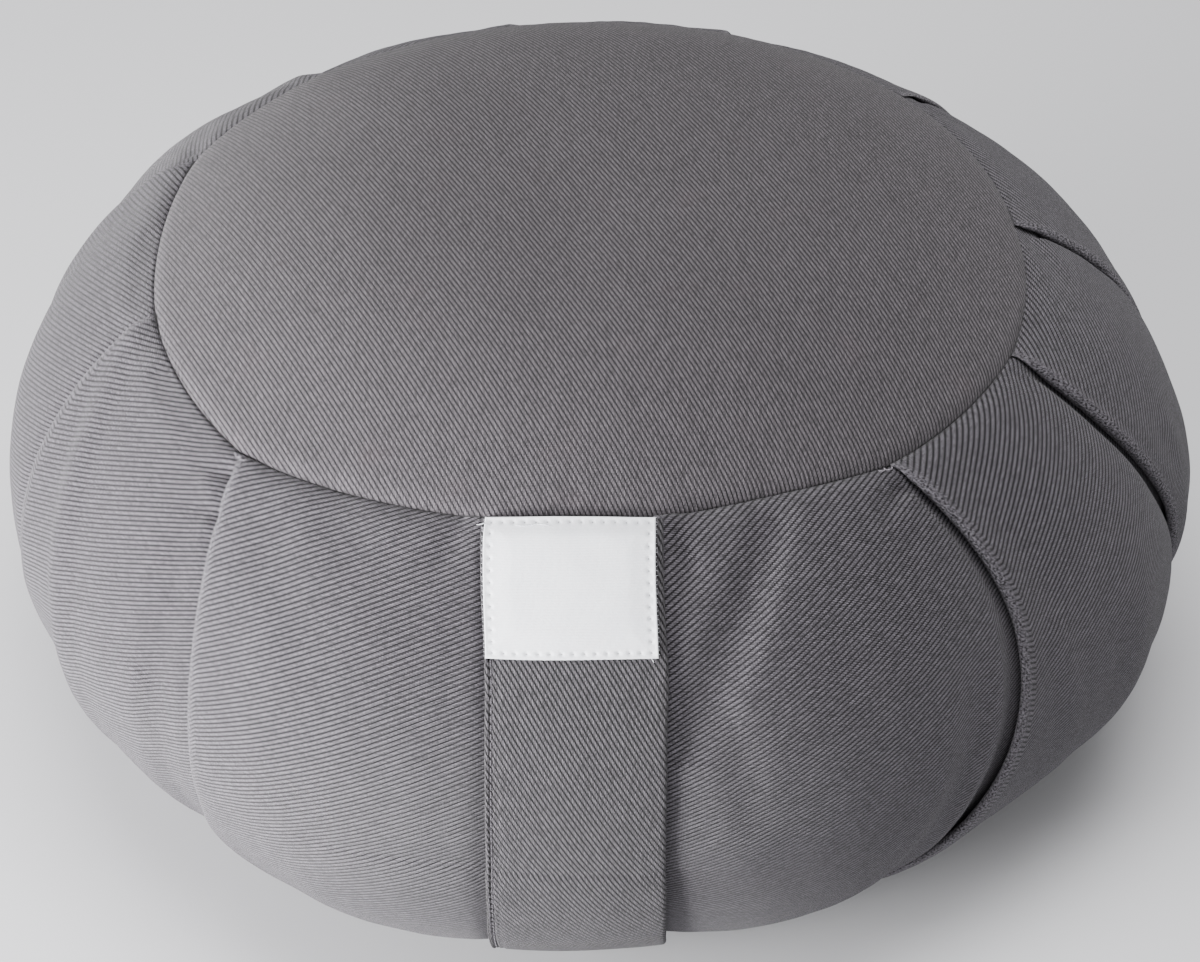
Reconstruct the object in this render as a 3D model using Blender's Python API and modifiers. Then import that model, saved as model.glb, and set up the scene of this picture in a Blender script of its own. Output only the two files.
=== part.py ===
"""A round meditation cushion: a pleated, filled band between two round panels, with a carry strap and a label.

Metres, +Z up. The origin is on the floor under the cushion's centre, and the strap faces -Y.
Azimuths are in degrees, 0 at the strap's side (-Y), growing towards +X.
A level runs from 0 at the top seam to 1 at the bottom seam.
"""

import math
from typing import NamedTuple

import bmesh
import bpy
from mathutils import Vector

# The smooth form under the pleats: a rounded drum, widest at its waist.
WIDEST_RADIUS = 0.180
WAIST_HEIGHT = 0.0828
CROWN_RISE = 0.099
KEEL_DROP = 0.0954
PLAN_POWER = 2.886
RISE_POWER = 2.034
FLOOR_ROUNDING = 0.004
BAND_ARC = 0.205
NORMAL_STEP = math.radians(0.4)
# The pleats swell unevenly, so the drum's axis stands a little off the middle of the whole.
AXIS_X = -0.0003
AXIS_Y = -0.0004

# The cloth and how the pieces sit on each other.
PANEL_CLOTH = 0.0015
STRAP_CLOTH = 0.0022
LABEL_CLOTH = 0.0010
SEAT_GAP = 0.0005
STRAP_GAP = 0.0007
SEAM_GAP = 0.0004
SEAM_DIP = 0.0015
SEAM_DIP_REACH = 0.009
BAND_SETTLE = 0.0022
SEAM_SAG = 0.0009
PANEL_ARC = 0.140

# How the pleats open, as shares of the band's height and of a panel's width.
OPENING_LEVELS = 0.16
LIFT_SHARE = 0.20
SINK_SHARE = 0.82

# A fold's section: its rounded edge, the cloth before its mouth, and the low ramp it makes inside a seam.
FOLD_EDGE_RADIUS = 0.0022
FOLD_APPROACH = 0.0035
FOLD_FRONT_SHARE = 0.55
SEWN_STEP = 0.0009
SEWN_RAMP = 0.0004

# The strap, and the label on its upper end.
STRAP_WIDTH = 0.050
STRAP_SEAM_AZIMUTH = -2.75
STRAP_WAIST_AZIMUTH = -1.75
STRAP_STRAIGHT_LEVEL = 0.25
STRAP_END = 0.0012
STRAP_EDGE_ROUNDING = 0.0006
LABEL_WIDTH = 0.0465
LABEL_HEIGHT = 0.0405
LABEL_SHIFT = -0.0005

# How fine the faces are.
BAND_ROWS = 20
PANEL_STEPS_PER_PLEAT = 4
PANEL_SHARES = (0.10, 0.26, 0.43, 0.60, 0.77, 0.91)
# The rings of both round panels, from the seam (0) to the axis (1).
# Those of the bottom stand close together where it turns on to the floor.
CROWN_RINGS = (0.0, 0.12, 0.28, 0.50, 0.75, 1.0)
BASE_RINGS = (0.0, 0.10, 0.20, 0.30, 0.38, 1.0)
STRAP_ROWS = 28
STRAP_COLUMNS = 6
LABEL_ROWS = 6
MERGE = 1e-6
SHARP_EDGE = math.radians(50)


class Pleat(NamedTuple):
    """A knife pleat and the panel that follows it, in the order of azimuth.

    The four azimuths are those of the fold's edge at the top seam, a third and two thirds of the way down,
    and at the bottom seam. The fold faces the lower azimuth. Tuck is how far the cloth runs in under it,
    mouth how wide the fold gapes, lift how far its edge stands up and sink how far the cloth before it drops.
    Fullness and peak say how far the panel after it swells, and where between its two pleats.
    """

    name: str
    at_seam: float
    upper: float
    lower: float
    at_foot: float
    seam_radius: float
    tuck: float
    mouth: float
    lift: float
    sink: float
    fullness: float
    peak: float


class TuckPoint(NamedTuple):
    """A point of a fold's section: its share of the tuck's depth, and its share of the mouth's height."""

    inward: float
    height: float


class SoftFold(NamedTuple):
    """A soft ridge (positive height) or hollow of the band, between two levels."""

    name: str
    at_seam: float
    upper: float
    lower: float
    at_foot: float
    height: float
    half_width: float
    from_level: float
    to_level: float


PLEATS = (
    # name, azimuths at seam, upper, lower, foot; seam radius; tuck, mouth, lift, sink; fullness, peak
    Pleat("back_left", -170.0, -166.0, -165.5, -169.0, 0.1335, 0.009, 0.0014, 0.0018, 0.0026, 0.0044, 0.50),
    Pleat("far_left", -141.0, -136.0, -135.0, -139.0, 0.1360, 0.009, 0.0014, 0.0022, 0.0024, 0.0048, 0.45),
    Pleat("left_rear", -113.5, -106.5, -105.0, -109.0, 0.1370, 0.008, 0.0011, 0.0024, 0.0018, 0.0026, 0.40),
    Pleat("left", -77.0, -74.5, -74.0, -77.0, 0.1330, 0.008, 0.0010, 0.0014, 0.0016, 0.0016, 0.66),
    Pleat("front_left", -45.5, -40.3, -40.3, -43.0, 0.1395, 0.008, 0.0009, 0.0012, 0.0018, 0.0062, 0.40),
    Pleat("under_strap", -12.5, -8.8, -8.8, -11.5, 0.1318, 0.005, 0.0010, 0.0, 0.0032, 0.0, 0.50),
    Pleat("beside_strap", 9.4, 6.4, 6.2, 9.8, 0.1286, 0.006, 0.0014, -0.0016, 0.0034, 0.0044, 0.50),
    Pleat("front_right", 38.5, 43.5, 36.8, 27.0, 0.1341, 0.014, 0.0026, 0.0022, 0.0042, 0.0046, 0.66),
    Pleat("right", 66.5, 71.5, 74.0, 70.0, 0.1321, 0.011, 0.0026, 0.0016, 0.0044, 0.0046, 0.35),
    Pleat("right_rear", 96.0, 95.5, 93.0, 89.0, 0.1278, 0.010, 0.0024, 0.0012, 0.0040, 0.0020, 0.50),
    Pleat("far_right", 131.0, 133.5, 133.0, 129.0, 0.1292, 0.009, 0.0016, 0.0012, 0.0028, 0.0014, 0.50),
    Pleat("back_right", 161.0, 164.0, 164.0, 160.0, 0.1320, 0.009, 0.0014, 0.0014, 0.0026, 0.0030, 0.50),
)

TUCK = (
    # share of the depth, share of the mouth: floor, tip, roof, under the edge
    TuckPoint(0.35, 0.0),
    TuckPoint(1.00, 0.12),
    TuckPoint(0.50, 0.55),
    TuckPoint(0.10, 1.0),
)

SOFT_FOLDS = (
    # name, azimuths at seam, upper, lower, foot; height, half width; from level, to level
    SoftFold("second_ridge_left", -74.5, -64.0, -61.0, -64.0, 0.0016, 4.5, 0.04, 0.90),
    SoftFold("valley_front_left", -48.5, -44.8, -44.2, -46.0, -0.0018, 3.5, 0.12, 0.85),
    SoftFold("hollow_by_strap", 19.0, 16.5, 15.0, 14.0, -0.0028, 4.5, 0.00, 0.30),
    SoftFold("hollow_front_right", 29.0, 27.0, 25.0, 22.0, -0.0014, 3.5, 0.00, 0.26),
    SoftFold("under_fold", 33.5, 37.5, 33.0, 26.0, -0.0026, 3.6, 0.30, 0.92),
    SoftFold("roll_right", 58.0, 60.0, 62.0, 60.0, 0.0016, 5.0, 0.30, 0.95),
    SoftFold("ridge_far_left", -128.0, -122.0, -120.0, -124.0, 0.0016, 5.0, 0.05, 0.90),
    SoftFold("ridge_back", 176.0, 179.0, 180.0, 177.0, 0.0016, 5.0, 0.05, 0.90),
)

EDGE_POINTS = 2
STRAP_PANEL = next(i for i, pleat in enumerate(PLEATS) if pleat.name == "under_strap")


def smooth_step(low, high, value):
    """0 below low, 1 above high, and an even curve between."""
    share = min(max((value - low) / (high - low), 0.0), 1.0)
    return share * share * (3.0 - 2.0 * share)


def mix(first, second, share):
    """The value a share of the way from first to second."""
    return first + (second - first) * share


def along(fold, level):
    """A fold's azimuth at a level: the cubic through its four azimuths."""
    values = (fold.at_seam, fold.upper, fold.lower, fold.at_foot)
    stations = (0.0, 1 / 3, 2 / 3, 1.0)
    total = 0.0
    for i, value in enumerate(values):
        weight = 1.0
        for j, station in enumerate(stations):
            if j != i:
                weight *= (level - station) / (stations[i] - station)
        total += value * weight
    return total


def profile(angle):
    """Distance from the axis and height of the smooth form, from 90 degrees at the crown to -90 below."""
    reach = WIDEST_RADIUS * max(math.cos(angle), 0.0) ** (2 / PLAN_POWER)
    climb = abs(math.sin(angle)) ** (2 / RISE_POWER)
    if angle >= 0:
        return reach, WAIST_HEIGHT + CROWN_RISE * climb
    height = WAIST_HEIGHT - KEEL_DROP * climb
    overlap = max(FLOOR_ROUNDING - abs(height), 0.0) / FLOOR_ROUNDING
    return reach, max(height, 0.0) + overlap * overlap * FLOOR_ROUNDING / 4


def outward(angle):
    """The smooth form's outward direction at a profile angle, as (away from the axis, up)."""
    if math.pi / 2 - abs(angle) < NORMAL_STEP:
        return 0.0, math.copysign(1.0, angle)
    above, below = profile(angle + NORMAL_STEP), profile(angle - NORMAL_STEP)
    run, rise = above[0] - below[0], above[1] - below[1]
    length = math.hypot(run, rise)
    return rise / length, -run / length


def place(azimuth, angle, rise):
    """The point on the smooth form at an azimuth and profile angle, moved outwards by rise."""
    reach, height = profile(angle)
    away, up = outward(angle)
    reach += away * rise
    turn = math.radians(azimuth)
    x = AXIS_X + reach * math.sin(turn)
    y = AXIS_Y - reach * math.cos(turn)
    return Vector((x, y, height + up * rise))


def seam_angle(radius):
    """The profile angle at which the smooth form has this radius, above the waist."""
    return math.acos((radius / WIDEST_RADIUS) ** (PLAN_POWER / 2))


def panel_seam_angle(panel, share):
    """The seam's profile angle a share of the way from one pleat to the next."""
    here, following = PLEATS[panel], PLEATS[(panel + 1) % len(PLEATS)]
    radius = mix(here.seam_radius, following.seam_radius, share) - SEAM_SAG * math.sin(math.pi * share)
    return seam_angle(radius)


def panel_azimuth(panel, share, level):
    """The azimuth a share of the way from one pleat's edge to the next one's."""
    start = along(PLEATS[panel], level)
    end = along(PLEATS[(panel + 1) % len(PLEATS)], level)
    if end < start:
        end += 360.0
    return mix(start, end, share)


def seam_dip(level):
    """How the cloth is drawn in where it meets a seam."""
    distance = min(level, 1.0 - level) * BAND_ARC
    return -SEAM_DIP * (1.0 - smooth_step(0.0, SEAM_DIP_REACH, distance))


def openness(level):
    """How far the pleats have opened: 0 where they are sewn flat into a seam."""
    return smooth_step(0.0, OPENING_LEVELS, min(level, 1.0 - level))


def swell(level):
    """How far the filling pushes the cloth out: nothing at the seams, and evenly between them."""
    return 1.0 - (2.0 * level - 1.0) ** 4


def soft_fold_rise(azimuth, level):
    """What the soft ridges and hollows add at a place on the band."""
    total = 0.0
    for fold in SOFT_FOLDS:
        away = (azimuth - along(fold, level) + 180.0) % 360.0 - 180.0
        across = min(abs(away) / fold.half_width, 1.0)
        run = (level - fold.from_level) / (fold.to_level - fold.from_level)
        if 0.0 < run < 1.0:
            total += fold.height * (1.0 - across * across) ** 2 * math.sin(math.pi * run) ** 0.5
    return total


def panel_rise(panel, share, level):
    """How far a panel's cloth stands off the smooth form, between its two pleats."""
    here, following = PLEATS[panel], PLEATS[(panel + 1) % len(PLEATS)]
    skewed = share ** (math.log(0.5) / math.log(here.peak))
    rise = (here.fullness * math.sin(math.pi * skewed) - BAND_SETTLE) * swell(level)
    rise += here.lift * openness(level) * (1.0 - smooth_step(0.0, LIFT_SHARE, share))
    rise -= following.sink * openness(level) * smooth_step(SINK_SHARE, 1.0, share)
    rise += soft_fold_rise(panel_azimuth(panel, share, level), level)
    return rise + seam_dip(level)


def tuck_points(pleat, level):
    """The fold's section at a level, in the order of azimuth, as (distance along the band, rise) pairs.

    From the cloth in front of the mouth to the tip of the tuck, back along the roof, and round the edge.
    In a seam the fold is sewn flat, and the same points make a low even ramp.
    """
    base = seam_dip(level) - BAND_SETTLE * swell(level)
    front = mix(pleat.mouth - pleat.sink, pleat.lift, FOLD_FRONT_SHARE)
    opened = [(-FOLD_APPROACH, -pleat.sink)]
    opened += [(pleat.tuck * point.inward, pleat.mouth * point.height - pleat.sink) for point in TUCK]
    opened += [(0.0, front), (FOLD_EDGE_RADIUS, pleat.lift)]
    middle = len(opened) - 2
    share = openness(level)
    points = []
    for i, (distance, rise) in enumerate(opened):
        sewn_distance = (i - middle) * SEWN_STEP
        sewn_rise = (2 * i / middle - 1) * SEWN_RAMP
        points.append((mix(sewn_distance, distance, share), base + mix(sewn_rise, rise, share)))
    return points


def tuck_place(pleat, point, level):
    """A point of a fold's section as a point in space."""
    distance, rise = point
    angle = band_angle(seam_angle(pleat.seam_radius), level)
    azimuth = along(pleat, level) + math.degrees(distance / profile(angle)[0])
    return place(azimuth, angle, rise)


def band_angle(top_angle, level):
    """The profile angle at a level of the band, which runs evenly from one seam to the other."""
    return mix(top_angle, -top_angle, level)


def band_loop(level):
    """One loop round the band. Each pleat gives its edge, its panel, and the next pleat's tuck."""
    loop = []
    for panel, pleat in enumerate(PLEATS):
        following = PLEATS[(panel + 1) % len(PLEATS)]
        edge = tuck_points(pleat, level)[-EDGE_POINTS:]
        loop += [tuck_place(pleat, point, level) for point in edge]
        for share in PANEL_SHARES:
            angle = band_angle(panel_seam_angle(panel, share), level)
            loop.append(place(panel_azimuth(panel, share, level), angle, panel_rise(panel, share, level)))
        tuck = tuck_points(following, level)[:-EDGE_POINTS]
        loop += [tuck_place(following, point, level) for point in tuck]
    return loop


def cap_loop(level, inward, depth, steps):
    """A loop inside a seam: inward is 0 at the seam and 1 at the axis, depth is measured into the cushion."""
    loop = []
    side = 1.0 if level == 0.0 else -1.0
    for panel in range(len(PLEATS)):
        for step in range(steps):
            share = step / steps
            angle = side * mix(panel_seam_angle(panel, share), math.pi / 2, inward)
            loop.append(place(panel_azimuth(panel, share, level), angle, -depth))
    return loop


def skin(name, loops, closed=True):
    """A mesh through loops of points: a grid of faces, bent to them and closed where its edges meet."""
    columns = len(loops[0]) if closed else len(loops[0]) - 1
    rows = len(loops) - 1
    shape = bmesh.new()
    bmesh.ops.create_grid(shape, x_segments=columns, y_segments=rows, size=1.0)
    for vertex in shape.verts:
        column = round((vertex.co.x + 1.0) / 2.0 * columns)
        row = round((vertex.co.y + 1.0) / 2.0 * rows)
        vertex.co = loops[row][column % len(loops[row])]
    bmesh.ops.remove_doubles(shape, verts=shape.verts, dist=MERGE)
    bmesh.ops.dissolve_degenerate(shape, edges=shape.edges, dist=MERGE)
    mesh = bpy.data.meshes.new(name)
    shape.to_mesh(mesh)
    shape.free()
    mesh.shade_smooth()
    return mesh


def face_outwards(mesh):
    """Turn a closed mesh's faces outwards."""
    shape = bmesh.new()
    shape.from_mesh(mesh)
    bmesh.ops.recalc_face_normals(shape, faces=shape.faces)
    shape.to_mesh(mesh)
    shape.free()


def face_like(mesh, direction):
    """Turn an open sheet's faces so that the one nearest its middle looks the given way."""
    middle = min(mesh.polygons, key=lambda face: abs(face.index - len(mesh.polygons) // 2))
    if middle.normal.dot(direction) < 0:
        mesh.flip_normals()


def add_object(collection, name, mesh, material):
    """Put a mesh in the collection as an object with its own material."""
    piece = bpy.data.objects.new(name, mesh)
    collection.objects.link(piece)
    mesh.materials.append(material)
    return piece


def give_thickness(piece, thickness, offset):
    """Make a sheet solid: offset -1 grows it inwards from its face, 1 outwards."""
    solid = piece.modifiers.new("Cloth thickness", "SOLIDIFY")
    solid.thickness = thickness
    solid.offset = offset
    solid.use_even_offset = True


def make_material(name, red, green, blue, roughness):
    """A plain finish from a colour in the 0 to 255 scale of a screen."""
    material = bpy.data.materials.new(name)
    material.use_nodes = True
    finish = material.node_tree.nodes["Principled BSDF"]
    linear = [(value / 255.0) ** 2.2 for value in (red, green, blue)]
    finish.inputs["Base Color"].default_value = (*linear, 1.0)
    finish.inputs["Roughness"].default_value = roughness
    finish.inputs["Metallic"].default_value = 0.0
    return material


def build_cushion(collection, cloth):
    """The pleated band with its filling, as one solid that both panels are seated on."""
    depth = PANEL_CLOTH + SEAT_GAP
    steps = len(band_loop(0.0)) // len(PLEATS)
    top = [cap_loop(0.0, inward, depth, steps) for inward in reversed(CROWN_RINGS)]
    bottom = [cap_loop(1.0, inward, depth, steps) for inward in BASE_RINGS]
    band = [band_loop(row / BAND_ROWS) for row in range(BAND_ROWS + 1)]
    mesh = skin("filled_cushion", top + band + bottom)
    face_outwards(mesh)
    mesh.set_sharp_from_angle(angle=SHARP_EDGE)
    return add_object(collection, "filled_cushion", mesh, cloth)


def build_round_panel(collection, name, level, rings, direction, cloth):
    """A crowned round panel, seated inside its seam."""
    insets = [max(ring, SEAM_GAP / PANEL_ARC) for ring in rings]
    loops = [cap_loop(level, inset, 0.0, PANEL_STEPS_PER_PLEAT) for inset in insets]
    mesh = skin(name, loops)
    face_like(mesh, Vector((0.0, 0.0, direction)))
    piece = add_object(collection, name, mesh, cloth)
    give_thickness(piece, PANEL_CLOTH, -1.0)
    return piece


def strap_middle(level):
    """The azimuth of the strap's middle line."""
    return mix(STRAP_SEAM_AZIMUTH, STRAP_WAIST_AZIMUTH, smooth_step(0.0, STRAP_STRAIGHT_LEVEL, level))


def strap_rise(level):
    """How far the strap's inner face stands off the smooth form: just clear of the band under it."""
    return panel_rise(STRAP_PANEL, 0.5, level) + STRAP_GAP


def strip_loops(rows, start, end, width, shift, rise):
    """Cross lines of a strip that lies on the strap's path, from one distance below the seam to another."""
    loops = []
    for row in range(rows + 1):
        level = mix(start, end, row / rows) / BAND_ARC
        line = []
        for column in range(STRAP_COLUMNS + 1):
            across = (column / STRAP_COLUMNS - 0.5) * width + shift
            top_angle = panel_seam_angle(STRAP_PANEL, 0.5 + across / STRAP_WIDTH)
            angle = band_angle(top_angle, level)
            azimuth = strap_middle(level) + math.degrees(across / profile(angle)[0])
            line.append(place(azimuth, angle, strap_rise(level) + rise))
        loops.append(line)
    return loops


def build_strap(collection, cloth):
    """The flat carry strap, from the top seam round the belly to the bottom seam."""
    loops = strip_loops(STRAP_ROWS, STRAP_END, BAND_ARC - STRAP_END, STRAP_WIDTH, 0.0, 0.0)
    mesh = skin("carry_strap", loops, closed=False)
    face_like(mesh, Vector((0.0, -1.0, 0.0)))
    piece = add_object(collection, "carry_strap", mesh, cloth)
    give_thickness(piece, STRAP_CLOTH, 1.0)
    rounding = piece.modifiers.new("Folded edges", "BEVEL")
    rounding.width = STRAP_EDGE_ROUNDING
    rounding.segments = 2
    rounding.limit_method = "ANGLE"
    rounding.angle_limit = SHARP_EDGE
    return piece


def build_label(collection, cloth):
    """The woven label on the strap's upper end."""
    rise = STRAP_CLOTH + SEAT_GAP
    loops = strip_loops(LABEL_ROWS, STRAP_END, STRAP_END + LABEL_HEIGHT, LABEL_WIDTH, LABEL_SHIFT, rise)
    mesh = skin("sewn_label", loops, closed=False)
    face_like(mesh, Vector((0.0, -1.0, 0.0)))
    piece = add_object(collection, "sewn_label", mesh, cloth)
    give_thickness(piece, LABEL_CLOTH, 1.0)
    return piece


def main():
    """Clear the scene and build the cushion's pieces."""
    for old in list(bpy.data.objects):
        bpy.data.objects.remove(old, do_unlink=True)
    collection = bpy.data.collections.new("meditation_cushion")
    bpy.context.scene.collection.children.link(collection)
    build_cushion(collection, make_material("band_twill", 120, 115, 122, 0.9))
    panel_cloth = make_material("panel_twill", 113, 108, 113, 0.9)
    build_round_panel(collection, "top_panel", 0.0, CROWN_RINGS, 1.0, panel_cloth)
    build_round_panel(collection, "bottom_panel", 1.0, BASE_RINGS, -1.0, panel_cloth)
    build_strap(collection, make_material("strap_twill", 122, 116, 124, 0.9))
    build_label(collection, make_material("label_satin", 228, 229, 234, 0.6))


main()
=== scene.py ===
"""A round meditation cushion in a soft studio.

It is a pleated band, two round panels, a carry strap and a bare label.

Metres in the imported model's frame, +Z up, with the strap facing -Y. Azimuths are in degrees, 0 at the
strap's side and growing towards +X. A level runs from 0 at the top seam to 1 at the bottom seam.
"""

import logging
import math
from dataclasses import dataclass, field
from enum import Enum
from typing import NamedTuple, Sequence

import bmesh
import bpy
from bmesh.types import BMesh
from bpy.types import Material, Mesh, Node, NodeSocket, NodeTree, Object
from mathutils import Matrix, Vector, noise


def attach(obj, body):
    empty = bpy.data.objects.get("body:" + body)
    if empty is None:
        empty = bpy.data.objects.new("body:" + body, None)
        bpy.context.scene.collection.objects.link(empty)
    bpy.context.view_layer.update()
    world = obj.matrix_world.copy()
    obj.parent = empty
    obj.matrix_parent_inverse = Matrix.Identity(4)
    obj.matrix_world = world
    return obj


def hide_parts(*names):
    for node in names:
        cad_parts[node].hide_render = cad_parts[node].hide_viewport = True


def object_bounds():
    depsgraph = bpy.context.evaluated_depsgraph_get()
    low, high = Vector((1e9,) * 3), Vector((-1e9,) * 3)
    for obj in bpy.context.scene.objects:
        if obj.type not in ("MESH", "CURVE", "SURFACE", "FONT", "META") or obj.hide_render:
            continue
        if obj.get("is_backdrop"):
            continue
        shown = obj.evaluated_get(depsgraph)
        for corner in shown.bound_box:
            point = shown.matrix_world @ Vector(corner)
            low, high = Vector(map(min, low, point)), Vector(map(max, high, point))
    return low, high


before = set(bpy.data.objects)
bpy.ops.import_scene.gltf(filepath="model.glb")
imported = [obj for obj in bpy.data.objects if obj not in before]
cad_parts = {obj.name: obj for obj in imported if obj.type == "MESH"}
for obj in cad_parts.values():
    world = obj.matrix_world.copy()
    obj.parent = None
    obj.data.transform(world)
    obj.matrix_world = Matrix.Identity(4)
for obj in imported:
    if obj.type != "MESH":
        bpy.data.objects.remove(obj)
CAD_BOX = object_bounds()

log = logging.getLogger("cushion")

ROOT = "root"
CLOTH_UV = "cloth"
SEAM_UV = "seam"
FOLD_UV = "fold"

# In metres: points this close are one, past the reach of any seam or fold, and a step that finds a direction.
MERGE = 1e-6
FAR = 0.1
OUT_STEP = 0.001

Colour = tuple[float, float, float]


class Side(Enum):
    """Which of the two round panels a piece is: the sign of its height above the waist."""

    TOP = 1.0
    BOTTOM = -1.0


class Pleat(NamedTuple):
    """A knife pleat and the panel that follows it, in the order of azimuth.

    The four azimuths are those of the fold's edge at the top seam, a third and two thirds of the way down,
    and at the bottom seam. Tuck is how far the cloth runs in under the edge, mouth how wide the fold gapes,
    lift how far its edge stands up and sink how far the cloth before it drops. Fullness and peak say how
    far the panel after it swells, and where between its two pleats; sag how far its seam runs in there.
    """

    name: str
    at_seam: float
    upper: float
    lower: float
    at_foot: float
    seam_radius: float
    tuck: float
    mouth: float
    lift: float
    sink: float
    fullness: float
    peak: float
    sag: float


class SoftFold(NamedTuple):
    """A soft ridge (positive height) or hollow of the band, between two levels."""

    name: str
    at_seam: float
    upper: float
    lower: float
    at_foot: float
    height: float
    half_width: float
    from_level: float
    to_level: float


class Dent(NamedTuple):
    """A small hollow (negative height) or pucker of one panel, along a short line. Fade 1 ends it softly."""

    panel: str
    from_azimuth: float
    from_level: float
    to_azimuth: float
    to_level: float
    height: float
    half_width: float
    fade: float


class ClothPoint(NamedTuple):
    """A point of a cloth surface: its place, and its distances along and across the flat cloth.

    Before and after are the distance across the cloth as the faces on either side of the point see it: they
    differ only at the hidden tip of a tuck. Along and away are measured from the nearest seam, and past
    from the edge of the fold that the cloth runs out of; both are FAR where there is none near.
    """

    place: Vector
    before: float
    after: float
    down: float
    along: float
    away: float
    past: float = FAR


PLEATS = (
    # name, azimuths at seam, upper, lower, foot; seam radius; tuck, mouth, lift, sink; fullness, peak, sag
    Pleat("back_left", -170, -166, -165.5, -169, 0.1335, 0.009, 0.0014, 0.0018, 0.0026, 0.0044, 0.5, 0.0009),
    Pleat("far_left", -141, -136, -135, -139, 0.136, 0.009, 0.0014, 0.0022, 0.0024, 0.0048, 0.45, 0.0009),
    Pleat("left_rear", -113.5, -106.5, -105, -109, 0.1358, 0.008, 0.0011, 0.0026, 0.0018, 0.0026, 0.4, 0.0026),
    Pleat("left", -77, -74.5, -74, -77, 0.1331, 0.008, 0.001, 0.0016, 0.0014, 0.0016, 0.66, 0.0004),
    Pleat("front_left", -46.4, -40.5, -40.3, -43, 0.1374, 0.008, 0.0009, 0.0014, 0.0009, 0.0062, 0.4, 0.0006),
    Pleat("under_strap", -12.5, -8.8, -8.8, -11.5, 0.1315, 0.005, 0.0006, 0.0, 0.0012, 0.0, 0.5, 0.0016),
    Pleat("beside_strap", 7, 4.6, 4.6, 6.6, 0.1302, 0.006, 0.0014, -0.0008, 0.0034, 0.0044, 0.5, 0.0021),
    Pleat("front_right", 38.5, 43.5, 38.6, 30.5, 0.1325, 0.014, 0.0018, 0.002, 0.0028, 0.0046, 0.66, 0.0002),
    Pleat("right", 66.5, 73, 80.5, 79, 0.1315, 0.011, 0.0018, 0.0014, 0.003, 0.0046, 0.35, 0.0),
    Pleat("right_rear", 95, 100, 98.5, 92, 0.1268, 0.010, 0.0018, 0.001, 0.003, 0.002, 0.5, 0.0009),
    Pleat("far_right", 131, 133.5, 133, 129, 0.1292, 0.009, 0.0008, 0.0012, 0.0014, 0.0014, 0.5, 0.0009),
    Pleat("back_right", 161, 164, 164, 160, 0.132, 0.009, 0.0014, 0.0014, 0.0026, 0.003, 0.5, 0.0009),
)

SOFT_FOLDS = (
    # name, azimuths at seam, upper, lower, foot; height, half width; from level, to level
    SoftFold("second_ridge_left", -76, -63, -60, -63, 0.0022, 3.6, 0.02, 0.90),
    SoftFold("valley_front_left", -48.5, -44.8, -44.2, -46, -0.0018, 3.5, 0.12, 0.85),
    SoftFold("hollow_by_strap", 23, 8.5, 4, 4, -0.0025, 4.0, 0.01, 0.36),
    SoftFold("ridge_by_strap", 15, 4, 0, 0, 0.0006, 3.2, 0.01, 0.26),
    SoftFold("foot_at_strap", -12, -12, -12, -12, 0.0038, 22.0, 0.55, 0.995),
    SoftFold("under_fold", 33.5, 37.5, 33, 26, -0.0026, 3.6, 0.30, 0.92),
    SoftFold("roll_right", 58, 60, 62, 60, 0.0016, 5.0, 0.30, 0.95),
    SoftFold("ridge_far_left", -128, -122, -120, -124, 0.0016, 5.0, 0.05, 0.90),
    SoftFold("ridge_back", 176, 179, 180, 177, 0.0016, 5.0, 0.05, 0.90),
)

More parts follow.
